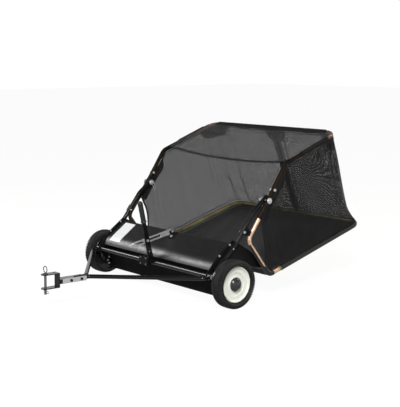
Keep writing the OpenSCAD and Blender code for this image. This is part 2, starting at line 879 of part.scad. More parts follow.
module lever_grip() {
    color([0.07, 0.07, 0.07])
        translate([lever_x + lever_t / 2, lever_foot.x, lever_foot.y])
        rotate([lever_lean, 0, 0])
        difference() {
            union() {
                translate([0, 0, lever_len - 95]) cylinder(r = 15.5, h = 100);
                translate([0, 0, lever_len + 5]) sphere(r = 15.5);
                translate([0, 0, lever_len - 99]) cylinder(r = 18, h = 6);
            }
            translate([-lever_t / 2 - 0.1, -lever_w / 2 - 0.1, lever_len - 110])
                cube([lever_t + 0.2, lever_w + 0.2, 93]);
            translate([-lever_t / 2 - 0.1, -10.1, lever_len - 30])
                cube([lever_t + 0.2, 20.2, 38.5]);
        }
}

module clamp_bolt() {
    color([0.78, 0.78, 0.78]) x_bolt(lever_x + lever_t + 0.2, -(lever_t + strap_t + 17), clamp_yz);
}

// Two-winged nut on the far end of the clamp bolt
module wing_nut() {
    color([0.7, 0.7, 0.7])
        difference() {
            union() {
                x_rod(strap_x - 10, strap_x - 0.6, clamp_yz, 9);
                for (a = [0, 180])
                    translate([strap_x - 18, clamp_yz.x, clamp_yz.y])
                        rotate([a + 20, 0, 0])
                        translate([0, 6, -2])
                        cube([14, 12, 4]);
            }
            x_rod(strap_x - 20, strap_x, clamp_yz, bolt_r + running_gap);
        }
}

module adjuster_strap() {
    color([0.78, 0.79, 0.8])
        difference() {
            yz_plate(strap_x, strap_t)
                translate(strap_yz)
                rotate(strap_angle)
                difference() {
                    union() {
                        translate([0, -strap_w / 2]) square([strap_len - strap_w / 2, strap_w]);
                        circle(r = strap_w / 2);
                        translate([strap_len - strap_w / 2, 0]) circle(r = strap_w / 2);
                    }
                    translate([slot_from, -slot_r]) square([slot_to - slot_from, 2 * slot_r]);
                    for (s = [slot_from, slot_to]) translate([s, 0]) circle(r = slot_r);
                }
            x_rod(strap_x - 1, strap_x + strap_t + 1, strap_yz, bolt_r + running_gap);
        }
}

// ---------- hopper ----------

module hopper_arm(side) {
    joint = shoulder + top_joint_s * top_dir;
    path = [arm_start + 0.3 * arm_dir, arm_knee, shoulder, joint];
    color([0.06, 0.06, 0.06])
        on_side(side)
        difference() {
            in_yz(hopper_x) bent_tube(path, hopper_tube_r, 60, hopper_tube_r - tube_wall);
            x_rod(hopper_x - 20, hopper_x + 20, pivot, hopper_pin_r + running_gap);
            x_rod(hopper_x - 20, hopper_x + 20, arm_bolt_spot(), bolt_r + 0.2);
        }
}

// Bolt through the arm, a little above the pivot
function arm_bolt_spot() = arm_knee + 26 * (shoulder - arm_knee) / norm(shoulder - arm_knee);

module top_hoop() {
    path = [
        [hopper_x, top_joint_s + 0.4], [hopper_x, top_len],
        [-hopper_x, top_len], [-hopper_x, top_joint_s + 0.4]
    ];
    color([0.06, 0.06, 0.06])
        in_slope(shoulder, top_angle)
        bent_tube(path, hopper_tube_r, hoop_bend_r, hopper_tube_r - tube_wall);
}

module floor_hoop() {
    path = [
        [hopper_x, floor_joint_s + 0.4], [hopper_x, floor_len],
        [-hopper_x, floor_len], [-hopper_x, floor_joint_s + 0.4]
    ];
    color([0.06, 0.06, 0.06])
        in_slope(floor_front, floor_angle)
        bent_tube(path, hopper_tube_r, hoop_bend_r, hopper_tube_r - tube_wall);
}

module floor_front_tube() {
    half = hopper_x - hopper_tube_r - 0.6;
    color([0.06, 0.06, 0.06])
        difference() {
            x_rod(-half, half, front_tube_yz, hopper_tube_r);
            x_rod(-half - 1, half + 1, front_tube_yz, hopper_tube_r - tube_wall);
        }
}

module hopper_struts() {
    color([0.06, 0.06, 0.06])
        both_sides()
            in_yz(hopper_x)
            bent_tube(strut_path, hopper_tube_r, corner_bend_r, hopper_tube_r - tube_wall);
}

// Upright rod in the middle of the back, just inside the back panel
module rear_stay() {
    gap = hopper_tube_r + 1;
    color([0.05, 0.05, 0.05])
        in_slope(top_rear, back_angle)
        translate([stay_x, gap, 0])
        rotate([-90, 0, 0])
        cylinder(r = stay_r, h = back_len - 2 * gap);
}

// Plugs that join the tubes end to end, and the bolts through the arms
module hopper_bolts() {
    face = hopper_tube_r + 0.2;
    plug_r = hopper_tube_r - tube_wall - 0.2;
    joints = [
        [arm_start, arm_dir],
        [shoulder + top_joint_s * top_dir, top_dir],
        [floor_front + floor_joint_s * floor_dir, floor_dir]
    ];
    color([0.75, 0.75, 0.76])
        both_sides() {
            for (j = joints)
                in_yz(hopper_x)
                    translate(j[0] - spigot_len * j[1])
                    rotate([0, 0, atan2(j[1].y, j[1].x)])
                    rotate([0, 90, 0])
                    cylinder(r = plug_r, h = 2 * spigot_len);
            x_bolt(hopper_x + face, -(2 * face + head_h + 1), arm_bolt_spot());
            x_hex(hopper_x - face - head_h, hopper_x - face, arm_bolt_spot(), head_r);
        }
}

// ---------- fabric ----------

// Outline of a side panel inside the tubes
module side_outline() {
    low_front = floor_front + 60 * floor_dir + panel_edge * [-floor_dir.y, floor_dir.x];
    low_rear = floor_rear - 30 * floor_dir + panel_edge * [-floor_dir.y, floor_dir.x];
    high_rear = top_rear - 30 * top_dir + panel_edge * [top_dir.y, -top_dir.x];
    high_front = shoulder + 30 * top_dir + panel_edge * [top_dir.y, -top_dir.x];
    arm_point = pivot + 30 * arm_dir + (panel_edge + 4) * [arm_dir.y, -arm_dir.x];
    hem_mid = [305, 330];
    polygon([low_front, low_rear, high_rear, high_front, arm_point, hem_mid]);
}

module side_panels() {
    color([0.2, 0.2, 0.2])
        both_sides() yz_plate(hopper_x - panel_t / 2, panel_t) side_outline();
}

// Flat panel inside a rear hoop, from a start up to the hoop, with its rear corners rounded
module hoop_sheet(start, hoop_len) {
    half = hopper_x - panel_edge;
    corner_r = hoop_bend_r - panel_edge;
    translate([0, 0, -panel_t / 2])
        linear_extrude(panel_t) {
            translate([-half, start]) square([2 * half, hoop_len - hoop_bend_r - start]);
            translate([-half + corner_r, start])
                square([2 * (half - corner_r), hoop_len - panel_edge - start]);
            for (x = [corner_r - half, half - corner_r])
                translate([x, hoop_len - hoop_bend_r]) circle(r = corner_r);
        }
}

module floor_sheet() {
    color([0.12, 0.12, 0.12]) in_slope(floor_front, floor_angle) hoop_sheet(panel_edge + 8, floor_len);
}

module back_panel() {
    half = hopper_x - panel_edge;
    color([0.3, 0.3, 0.3])
        in_slope(top_rear, back_angle)
        translate([-half, panel_edge + 1, stay_r + 0.5])
        cube([2 * half, back_len - 2 * panel_edge - 2, panel_t]);
}

module top_panel() {
    color([0.25, 0.25, 0.25]) in_slope(shoulder, top_angle) hoop_sheet(10, top_len);
}

cover();
front_shield();
side_plate(1);  // side_plate_left
side_plate(-1);  // side_plate_right
frame_tube(1);  // frame_tube_left
frame_tube(-1);  // frame_tube_right
stub_axles();
axle_nuts();
brush_bushings();
crossbar_bushings();
strap_bracket();
strap_pivot_bolt();
housing_bolts();
label_plate();
hopper_pins();
pivot_washers();
hairpins();
hopper_stops();
tyre(1);  // tyre_left
wheel_disc(1);  // wheel_disc_left
ring_gear(1);  // ring_gear_left
hub_cap(1);  // hub_cap_left
tyre(-1);  // tyre_right
wheel_disc(-1);  // wheel_disc_right
ring_gear(-1);  // ring_gear_right
hub_cap(-1);  // hub_cap_right
brush_shaft();
pinions();
drive_pins();
brush_core();
bristle_strips();
brush_bolts();
crossbar();
drawbar(1);  // drawbar_left
drawbar(-1);  // drawbar_right
drawbar_bolts();
hitch_straps();
hitch_bolts();
hitch_clevis();
lever_bracket();
bracket_bolts();
lever();
lever_grip();
clamp_bolt();
wing_nut();
adjuster_strap();
hitch_pin();
hair_cotter();
hopper_arm(1);  // hopper_arm_left
hopper_arm(-1);  // hopper_arm_right
top_hoop();
floor_hoop();
floor_front_tube();
hopper_struts();
rear_stay();
hopper_bolts();
side_panels();
floor_sheet();
back_panel();
top_panel();
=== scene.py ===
import json
import math

import bpy
import numpy as np
from mathutils import Matrix, Vector


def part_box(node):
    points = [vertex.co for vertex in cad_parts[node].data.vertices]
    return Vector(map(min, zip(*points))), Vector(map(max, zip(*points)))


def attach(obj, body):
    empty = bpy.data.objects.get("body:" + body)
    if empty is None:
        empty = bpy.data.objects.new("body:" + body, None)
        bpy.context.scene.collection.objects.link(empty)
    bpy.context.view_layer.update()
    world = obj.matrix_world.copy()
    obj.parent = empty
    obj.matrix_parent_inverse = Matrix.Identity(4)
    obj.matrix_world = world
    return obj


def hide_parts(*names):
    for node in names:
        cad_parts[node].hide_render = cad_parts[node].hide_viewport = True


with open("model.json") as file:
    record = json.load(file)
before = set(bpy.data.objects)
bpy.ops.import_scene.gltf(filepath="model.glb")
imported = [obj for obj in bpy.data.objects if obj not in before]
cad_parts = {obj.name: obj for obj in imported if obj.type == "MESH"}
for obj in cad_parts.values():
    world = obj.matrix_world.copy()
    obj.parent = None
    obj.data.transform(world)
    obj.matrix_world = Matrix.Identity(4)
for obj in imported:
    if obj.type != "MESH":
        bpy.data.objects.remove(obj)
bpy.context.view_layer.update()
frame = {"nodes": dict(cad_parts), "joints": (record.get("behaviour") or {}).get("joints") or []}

# ---------------------------------------------------------------- named values, metres
JOINT = {j["name"]: j for j in frame["joints"]}
PIVOT = np.array(JOINT["hopper_dump"]["pos_m"][1:])  # hopper pivot, YZ
AXLE_Z = JOINT["wheel_left_spin"]["pos_m"][2]
BRUSH = np.array(JOINT["brush_spin"]["pos_m"][1:])


def box_np(node):
    lo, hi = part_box(node)
    return np.array(lo), np.array(hi)


TUBE_R = 0.0115  # hopper tube radius
HOOP_R = 0.070  # corner radius of the hoops
top_hi, low_hi = box_np("top_hoop")[1], box_np("floor_hoop")[1]
HALF = top_hi[0] - TUBE_R  # hopper tubes' X
TOP_REAR = top_hi[1:] - TUBE_R
LOW_REAR = low_hi[1:] - TUBE_R
NOSE = PIVOT + np.array([-0.143, -0.193])
SHOULDER = PIVOT + np.array([0.127, 0.183])
LOW_FRONT = PIVOT + np.array([0.015, -0.398])
WRAP = TUBE_R + 0.0012  # radius of fabric wrapped on a tube


# ---------------------------------------------------------------- small maths helpers
def unit(v):
    v = np.asarray(v, float)
    return v / np.linalg.norm(v)


def smooth(a, b, x):
    t = np.clip((np.asarray(x, float) - a) / (b - a), 0, 1)
    return t * t * (3 - 2 * t)


def lerp_path(points, t):
    """Points of an open polyline at distances t (0..1) of its length."""
    points = np.asarray(points, float)
    d = np.r_[0, np.cumsum(np.linalg.norm(np.diff(points, axis=0), axis=1))]
    t = np.asarray(t) * d[-1]
    return np.stack([np.interp(t, d, points[:, k]) for k in range(points.shape[1])], 1)


TOP_DIR = unit(TOP_REAR - SHOULDER)
LOW_DIR = unit(LOW_REAR - LOW_FRONT)
ARM_DIR = unit(PIVOT - NOSE)
TOP_LEN = float(np.linalg.norm(TOP_REAR - SHOULDER))
LOW_LEN = float(np.linalg.norm(LOW_REAR - LOW_FRONT))


def yz(x, p):
    return np.array([x, p[0], p[1]])


def hoop_point(origin, direction, length, s):
    """A hoop's axis at distance s from its start on the left side, round the rear and back on the right,
    with its outward and upward directions. origin is YZ and direction is unit YZ."""
    d3 = np.array([0, direction[0], direction[1]])
    up = np.array([0, -direction[1], direction[0]])
    straight = length - HOOP_R
    arc = HOOP_R * math.pi / 2
    rear = 2 * (HALF - HOOP_R)
    o3 = yz(0, origin)
    if s <= straight:
        return o3 + d3 * s + np.array([HALF, 0, 0]), np.array([1.0, 0, 0]), up
    s -= straight
    if s <= arc:
        a = s / HOOP_R
        c = o3 + d3 * straight + np.array([HALF - HOOP_R, 0, 0])
        out = np.array([math.cos(a), 0, 0]) + d3 * math.sin(a)
        return c + HOOP_R * out, out, up
    s -= arc
    if s <= rear:
        return o3 + d3 * length + np.array([HALF - HOOP_R - s, 0, 0]), d3, up
    s -= rear
    if s <= arc:
        a = s / HOOP_R
        c = o3 + d3 * straight + np.array([HOOP_R - HALF, 0, 0])
        out = np.array([-math.sin(a), 0, 0]) + d3 * math.cos(a)
        return c + HOOP_R * out, out, up
    s -= arc
    return o3 + d3 * (straight - s) + np.array([-HALF, 0, 0]), np.array([-1.0, 0, 0]), up


def hoop_total(length):
    return 2 * (length - HOOP_R) + math.pi * HOOP_R + 2 * (HALF - HOOP_R)


def hoop_ring(origin, direction, length, s, angle, radius=WRAP):
    """A point on the surface of a hoop's tube, or on fabric wrapped on it. angle is in degrees:
    0 is outward, 90 is up."""
    p, out, up = hoop_point(origin, direction, length, s)
    a = math.radians(angle)
    return p + radius * (math.cos(a) * out + math.sin(a) * up)


# ---------------------------------------------------------------- material building
class Mat:
    """A node material: each call adds a node and returns its output socket."""

    def __init__(self, name):
        self.m = bpy.data.materials.new(name)
        self.m.use_nodes = True
        self.t = self.m.node_tree
        self.t.nodes.clear()
        self.out = self.t.nodes.new("ShaderNodeOutputMaterial")
        self.coords = self.t.nodes.new("ShaderNodeTexCoord")
        self.obj = self.coords.outputs["Object"]
        self.uv = self.coords.outputs["UV"]

    def put(self, socket, value):
        if isinstance(value, bpy.types.NodeSocket):
            self.t.links.new(value, socket)
        elif isinstance(value, (tuple, list)) and len(value) == 3 and socket.type == "RGBA":
            socket.default_value = (*value, 1)
        else:
            socket.default_value = value

    def math(self, op, a, b=0.0, clamp=False):
        n = self.t.nodes.new("ShaderNodeMath")
        n.operation, n.use_clamp = op, clamp
        self.put(n.inputs[0], a)
        self.put(n.inputs[1], b)
        return n.outputs[0]

    def scale(self, vector, xyz):
        n = self.t.nodes.new("ShaderNodeMapping")
        self.put(n.inputs["Vector"], vector)
        n.inputs["Scale"].default_value = xyz
        return n.outputs[0]

    def noise(self, size, detail=3, rough=0.5, vector=None, out="Fac"):
        n = self.t.nodes.new("ShaderNodeTexNoise")
        self.put(n.inputs["Vector"], vector or self.obj)
        n.inputs["Scale"].default_value = 1 / size
        n.inputs["Detail"].default_value = detail
        n.inputs["Roughness"].default_value = rough
        return n.outputs[out]

    def ramp(self, fac, a, b, low=0.0, high=1.0):
        """Maps fac from low..high to a..b, numbers or colours."""
        if isinstance(a, (int, float)):
            n = self.t.nodes.new("ShaderNodeMapRange")
            n.clamp = True
            self.put(n.inputs["Value"], fac)
            for key, v in (("From Min", low), ("From Max", high), ("To Min", a), ("To Max", b)):
                n.inputs[key].default_value = v
            return n.outputs[0]
        n = self.t.nodes.new("ShaderNodeValToRGB")
        self.put(n.inputs[0], fac)
        e = n.color_ramp.elements
        e[0].position, e[1].position = low, high
        e[0].color, e[1].color = (*a, 1), (*b, 1)
        return n.outputs[0]

    def mix(self, fac, a, b):
        n = self.t.nodes.new("ShaderNodeMix")
        n.data_type = "RGBA"
        self.put(n.inputs[0], fac)
        self.put(n.inputs[6], a)
        self.put(n.inputs[7], b)
        return n.outputs[2]

    def xyz(self, vector):
        n = self.t.nodes.new("ShaderNodeSeparateXYZ")
        self.put(n.inputs[0], vector)
        return n.outputs

    def bump(self, height, strength, distance, normal=None):
        n = self.t.nodes.new("ShaderNodeBump")
        self.put(n.inputs["Height"], height)
        n.inputs["Strength"].default_value = strength
        n.inputs["Distance"].default_value = distance
        if normal is not None:
            self.put(n.inputs["Normal"], normal)
        return n.outputs[0]

    def edges(self, radius=0.0015):
        """1 on sharp edges, 0 on flat faces."""
        bevel = self.t.nodes.new("ShaderNodeBevel")
        bevel.samples = 4
        bevel.inputs["Radius"].default_value = radius
        geo = self.t.nodes.new("ShaderNodeNewGeometry")
        dot = self.t.nodes.new("ShaderNodeVectorMath")
        dot.operation = "DOT_PRODUCT"
        self.put(dot.inputs[0], bevel.outputs[0])
        self.put(dot.inputs[1], geo.outputs["Normal"])
        return self.ramp(dot.outputs["Value"], 1.0, 0.0, 0.90, 0.995)

    def outward(self):
        """1 on faces turned away from the middle plane, 0 on faces turned to it."""
        geo = self.t.nodes.new("ShaderNodeNewGeometry")
        side = self.math("SIGN", self.xyz(self.obj)[0])
        away = self.math("MULTIPLY", side, self.xyz(geo.outputs["Normal"])[0])
        return self.ramp(away, 0.0, 1.0, -0.1, 0.35)

    def entering(self):
        """1 on faces seen from outside, 0 on their backs."""
        geo = self.t.nodes.new("ShaderNodeNewGeometry")
        return self.math("SUBTRACT", 1.0, geo.outputs["Backfacing"])

    def finish(self, alpha=None, **inputs):
        p = self.t.nodes.new("ShaderNodeBsdfPrincipled")
        for key, v in inputs.items():
            self.put(p.inputs[key.replace("_", " ")], v)
        shader = p.outputs[0]
        if alpha is not None:
            clear = self.t.nodes.new("ShaderNodeBsdfTransparent")
            mix = self.t.nodes.new("ShaderNodeMixShader")
            self.put(mix.inputs[0], alpha)
            self.t.links.new(clear.outputs[0], mix.inputs[1])
            self.t.links.new(shader, mix.inputs[2])
            shader = mix.outputs[0]
        self.t.links.new(shader, self.out.inputs[0])
        return self.m


def paint(name, colour, rough, peel=0.12, wave=0.0, wear=0.35, dust=0.10, spec=0.5, tint=None):
    """Painted or powder-coated steel: orange peel, faint dust, thin bright wear on sharp edges."""
    m = Mat(name)
    cloud = m.noise(0.11, 5, 0.6)
    speck = m.noise(0.004, 3, 0.6)
    dusty = m.math("MULTIPLY", m.ramp(cloud, 0, dust, 0.45, 0.75), m.ramp(speck, 0.4, 1.0, 0.35, 0.65))
    base = m.mix(dusty, colour, (0.20, 0.19, 0.175))
    worn = m.math("MULTIPLY", m.edges(), m.ramp(m.noise(0.012, 4, 0.7), 0, wear, 0.50, 0.62))
    base = m.mix(worn, base, (0.30, 0.29, 0.28))
    roughness = m.math("ADD", m.ramp(m.noise(0.03, 4), rough * 0.85, rough * 1.2, 0.3, 0.7),
                       m.math("MULTIPLY", dusty, 0.5), True)
    normal = m.bump(m.noise(0.0022, 2, 0.5), peel, 0.0004)
    if wave:
        normal = m.bump(m.noise(0.16, 2, 0.4, m.scale(m.obj, (0.55, 1, 1))), wave, 0.02, normal)
    extra = {"Specular_Tint": tint} if tint is not None else {}
    return m.finish(Base_Color=base, Roughness=roughness, Normal=normal, Specular_IOR_Level=spec, **extra)


def metal(name, colour, rough, grain=(1, 1, 1), stain=0.25, bump=0.08, metallic=1.0):
    """Plated or bare metal: directional grain, cloudy passivation, dull spots."""
    m = Mat(name)
    cloud = m.noise(0.018, 4, 0.6)
    fine = m.noise(0.0012, 4, 0.7, m.scale(m.obj, grain))
    yellowed = tuple(c * f for c, f in zip(colour, (0.80, 0.76, 0.66)))
    base = m.mix(m.ramp(cloud, 0, stain, 0.4, 0.7), colour, yellowed)
    base = m.mix(m.ramp(fine, 0, 0.35, 0.45, 0.75), base, tuple(c * 0.55 for c in colour))
    roughness = m.math("ADD", m.ramp(fine, rough * 0.8, rough * 1.25, 0.3, 0.7),
                       m.ramp(cloud, 0, 0.12, 0.5, 0.8), True)
    return m.finish(Base_Color=base, Metallic=metallic, Roughness=roughness,
                    Normal=m.bump(fine, bump, 0.0003))


def plastic(name, colour, rough, size=0.0014, bump=0.15, vary=0.25, dirt=0.0, spec=0.5, painted_lit_raised=None):
    """Moulded plastic or rubber: fine texture, slight colour drift, dirt patches, and if asked a painted
    shade: raised parts lighter, hollows darker.
    """
    m = Mat(name)
    base = m.mix(m.ramp(m.noise(0.05, 4, 0.6), 0, vary, 0.35, 0.7), colour, tuple(c * 0.72 for c in colour))
    if dirt:
        base = m.mix(m.ramp(m.noise(0.02, 5, 0.7), 0, dirt, 0.52, 0.75), base, (0.18, 0.15, 0.11))
    # Painted light and shade: raised, pointy parts take a lighter colour, so hollows and grooves read darker.
    if painted_lit_raised is not None:
        geo = m.t.nodes.new("ShaderNodeNewGeometry")
        base = m.mix(m.ramp(geo.outputs["Pointiness"], 0, 1, 0.49, 0.56), base, painted_lit_raised)
    roughness = m.ramp(m.noise(0.01, 4), rough * 0.85, min(1.0, rough * 1.15), 0.3, 0.7)
    return m.finish(Base_Color=base, Roughness=roughness, Specular_IOR_Level=spec,
                    Normal=m.bump(m.noise(size, 2), bump, 0.0004))


TUBE_BLACK = (0.0045, 0.0042, 0.004)


def hopper_tube_mat(name, tint, strength=0.10, sleeve=None, rough=0.14, spec=0.6):
    """Black tube with warm-tinted reflections and a painted warm highlight: a warm colour mixed into its base
    that comes and goes along it. sleeve is (point, direction, from, to) in the YZ plane: a painted copper
    highlight, partly metallic, over that part of the tube, on its outer side only."""
    m = Mat(name)
    drift = m.ramp(m.noise(0.16, 3, 0.6), 0.25, 1.0, 0.36, 0.60)
    warm = m.mix(drift, (1, 1, 1), tint)
    rub = m.ramp(m.noise(0.006, 4, 0.7, m.scale(m.obj, (1, 0.25, 0.25))), 0, 0.10, 0.55, 0.75)
    # Painted warm highlight: the tint is mixed into the base colour, by strength, where the drift noise runs
    # high.
    colour = m.mix(m.math("MULTIPLY", drift, strength), TUBE_BLACK, tuple(c * 0.4 for c in tint))
    colour = m.mix(rub, colour, tuple(c * 0.10 for c in tint))
    metallic, roughness = 0.0, m.ramp(m.noise(0.01, 3), rough * 0.8, rough * 1.5, 0.3, 0.7)
    if sleeve is not None:
        (py, pz), (dy, dz), start, end = sleeve
        p = m.xyz(m.obj)
        along = m.math("ADD", m.math("MULTIPLY", m.math("SUBTRACT", p[1], float(py)), float(dy)),
                       m.math("MULTIPLY", m.math("SUBTRACT", p[2], float(pz)), float(dz)))
        on = m.math("MULTIPLY", m.ramp(along, 0, 1, start, start + 0.002),
                    m.ramp(along, 1, 0, end - 0.002, end))
        # Painted copper highlight: a streaked copper colour on the sleeve band, on outer faces only.
        streak = m.noise(0.010, 4, 0.6, m.scale(m.obj, (0.3, 1, 1)))
        copper_highlight_paint = m.mix(m.ramp(streak, 0, 1, 0.42, 0.60), (0.70, 0.40, 0.28), (0.84, 0.66, 0.46))
        on = m.math("MULTIPLY", on, m.outward())
        colour, metallic = m.mix(on, colour, copper_highlight_paint), m.math("MULTIPLY", on, 0.45)
        roughness = m.math("ADD", roughness, m.math("MULTIPLY", on, 0.16))
    return m.finish(Base_Color=colour, Metallic=metallic, Roughness=roughness, Specular_IOR_Level=spec,
                    Specular_Tint=warm, Normal=m.bump(m.noise(0.0025, 2), 0.08, 0.0004))


WAVE_UNIT = 0.3142  # a wave texture turns 20 rad per unit at scale 1


def weave(m, pitch):
    """Square weave from UV in metres: thread height of both directions together, and of each."""
    bands = []
    for axis in ("X", "Y"):
        n = m.t.nodes.new("ShaderNodeTexWave")
        n.wave_type, n.bands_direction, n.wave_profile = "BANDS", axis, "SIN"
        m.put(n.inputs["Vector"], m.uv)
        n.inputs["Scale"].default_value = WAVE_UNIT / pitch
        n.inputs["Distortion"].default_value = 0.0
        bands.append(n.outputs["Fac"])
    return m.math("MAXIMUM", *bands), *bands


BACK_U = 50.0  # added to u on the back face of every sheet


def mesh_fabric(name, pitch, hole, colour, outer=None):
    """Coated polyester mesh: round threads with small square holes between them. A panel is closed and
    thin, so only the face where a ray enters is woven and the face where it leaves is clear.
    outer is (hole, colour) of a panel's front face: a painted-shade copy of the cloth with darker threads and
    bigger holes."""
    m = Mat(name)
    thread, a, b = weave(m, pitch)
    # Painted shade: the front face is a darker, more open copy of the same cloth.
    if outer is not None:
        front = m.ramp(m.xyz(m.uv)[0], 1, 0, BACK_U / 2 - 1, BACK_U / 2 + 1)
        hole = m.ramp(front, hole, outer[0])
        base = m.mix(front, colour, outer[1])
    else:
        base = m.mix(0.0, colour, colour)
    open_a = m.ramp(m.math("SUBTRACT", a, hole), 1, 0, -0.06, 0.06)
    open_b = m.ramp(m.math("SUBTRACT", b, hole), 1, 0, -0.06, 0.06)
    solid = m.math("MULTIPLY", m.math("SUBTRACT", 1.0, m.math("MULTIPLY", open_a, open_b)), m.entering())
    cloud = m.noise(0.09, 4, 0.6)
    base = m.mix(m.ramp(cloud, 0.0, 0.25, 0.35, 0.7), base, (0.004, 0.004, 0.004))
    base = m.mix(m.ramp(m.noise(0.0035, 2), 0, 0.05, 0.45, 0.7), base, (0.10, 0.10, 0.10))
    return m.finish(alpha=solid, Base_Color=base, Roughness=m.ramp(cloud, 0.55, 0.75, 0.3, 0.7),
                    Specular_IOR_Level=0.15, Sheen_Weight=0.0, Normal=m.bump(thread, 0.5, pitch * 0.25))


def solid_fabric(name, colour, pitch=0.0016, rough=0.72, sheen=0.15):
    """Close woven coated cloth, with creases and handling marks."""
    m = Mat(name)
    thread, a, b = weave(m, pitch)
    cloud = m.noise(0.12, 4, 0.6)
    base = m.mix(m.ramp(cloud, 0, 0.5, 0.35, 0.7), colour, tuple(c * 1.55 for c in colour))
    # Painted shade: the gaps between threads are darker.
    base = m.mix(m.ramp(thread, 0.35, 0.0, 0.2, 0.7), base, tuple(c * 0.45 for c in colour))
    crease = m.noise(0.07, 5, 0.65, m.scale(m.uv, (1, 0.35, 1)))
    normal = m.bump(crease, 0.25, 0.004, m.bump(thread, 0.35, pitch * 0.25))
    return m.finish(Base_Color=base, Roughness=m.ramp(cloud, rough * 0.9, min(1, rough * 1.15), 0.3, 0.7),
                    Specular_IOR_Level=0.35, Sheen_Weight=sheen, Normal=normal)


def webbing(name, colour):
    """Ribbed binding tape."""
    m = Mat(name)
    uv = m.xyz(m.uv)
    rib = m.math("SINE", m.math("MULTIPLY", uv[0], 2 * math.pi / 0.0022))
    # Painted shade: darker in the troughs between ribs.
    base = m.mix(m.ramp(rib, 0, 0.45, -1, 1), colour, tuple(c * 0.5 for c in colour))
    base = m.mix(m.ramp(m.noise(0.03, 4), 0, 0.4, 0.45, 0.7), base, tuple(min(1, c * 1.8) for c in colour))
    return m.finish(Base_Color=base, Roughness=0.78, Specular_IOR_Level=0.3, Normal=m.bump(rib, 0.4, 0.0004))


GLOSS = paint("gloss_black_sheet", (0.0050, 0.0050, 0.0054), 0.33, peel=0.003, wave=0.03, wear=0.15,
              dust=0.0, spec=0.50)
MATTE = paint("matte_black_sheet", (0.0065, 0.0065, 0.007), 0.50, peel=0.06, wear=0.20, dust=0.02, spec=0.12)
# Painted shade: the shield's paint is darker and duller than the other black sheet, standing in for the shade
# it sits in.
SHIELD_PAINTED_SHADE = paint("shield_sheet_painted_shade", (0.0038, 0.0038, 0.0042), 0.55, peel=0.05, wear=0.20, dust=0.02, spec=0.06)
TUBE = paint("black_tube", (0.0045, 0.0045, 0.005), 0.16, peel=0.02, wear=0.18, dust=0.02, spec=0.42)
ZINC = metal("zinc", (0.74, 0.75, 0.76), 0.34, (1, 6, 1), metallic=0.70)
DARK_ZINC = metal("dark_zinc", (0.26, 0.26, 0.27), 0.36, (2, 2, 2), stain=0.45)
STEEL = metal("axle_steel", (0.52, 0.52, 0.53), 0.34, (6, 1, 1), stain=0.4)
NYLON = plastic("bush_nylon", (0.55, 0.53, 0.46), 0.45)
# The tread's raised lugs are painted lighter than its grooves: painted shade in the grooves.
RUBBER = plastic("tyre_rubber", (0.0060, 0.0060, 0.0064), 0.58, size=0.003, bump=0.25, vary=0.4,
                 dirt=0.008, spec=0.20, painted_lit_raised=(0.024, 0.024, 0.025))
CREAM = plastic("cream_wheel", (0.80, 0.815, 0.73), 0.42, bump=0.06, vary=0.08, dirt=0.0)
BLACK_PLASTIC = plastic("black_plastic", (0.010, 0.010, 0.011), 0.20, bump=0.03, vary=0.3)
SINTERED = metal("sintered_pinion", (0.42, 0.41, 0.39), 0.48, (2, 2, 2), stain=0.5, bump=0.25)
CORE = paint("core_paint", (0.030, 0.031, 0.033), 0.45, peel=0.2, wear=0.5)
BRISTLE = plastic("bristle", (0.014, 0.014, 0.015), 0.5, size=0.002, bump=0.2, vary=0.6, dirt=0.25)
HUB_PLASTIC = plastic("hub_cap_plastic", (0.030, 0.030, 0.032), 0.27, bump=0.02, vary=0.3)
GRIP = plastic("grip_rubber", (0.010, 0.010, 0.0105), 0.38, size=0.0012, bump=0.3)
LABEL = plastic("blank_label", (0.78, 0.79, 0.80), 0.35, bump=0.02, vary=0.12)
WARM_HIGHLIGHT_TINT = (0.95, 0.60, 0.33)
GOLD_HIGHLIGHT_TINT = (0.86, 0.74, 0.36)
STRUT_DIR = unit(LOW_FRONT - NOSE)
# Painted highlights on the hopper tubes: the third number sets how much warm tint is painted into the base;
# the arm and strut also get a painted copper band on their outer side.
HOPPER_TUBE = hopper_tube_mat("hopper_tube", GOLD_HIGHLIGHT_TINT, 0.62, rough=0.16, spec=1.0)
ARM_TUBE = hopper_tube_mat("hopper_arm_tube", WARM_HIGHLIGHT_TINT, 0.02, spec=0.16, sleeve=(NOSE, ARM_DIR, -0.060, 0.130))
HOOP_TUBE = hopper_tube_mat("hopper_hoop_tube", (0.98, 0.62, 0.52), 0.35, spec=0.5)
STRUT_TUBE = hopper_tube_mat("hopper_strut_tube", WARM_HIGHLIGHT_TINT, sleeve=(NOSE, unit([0, 1]), -0.300, 0.300))
# The wall's front face uses the darker painted-shade copy given by outer.
MESH = mesh_fabric("mesh_fabric", 0.0024, 0.25, (0.010, 0.010, 0.0105),
                   outer=(0.484, (0.0065, 0.0065, 0.007)))
# Painted light: the top panel's threads are much lighter than the walls' same cloth, standing in for the light
# the top catches from above; its holes are also bigger.
MESH_TOP_PAINTED_LIT = mesh_fabric("mesh_fabric_top_painted_lit", 0.0026, 0.86, (0.085, 0.086, 0.090))
MESH_DOUBLE = mesh_fabric("mesh_fabric_double", 0.0019, 0.12, (0.006, 0.006, 0.0065))
FLOOR_CLOTH = solid_fabric("floor_fabric", (0.0125, 0.0125, 0.0135))
BINDING = webbing("binding_tape", (0.006, 0.006, 0.006))

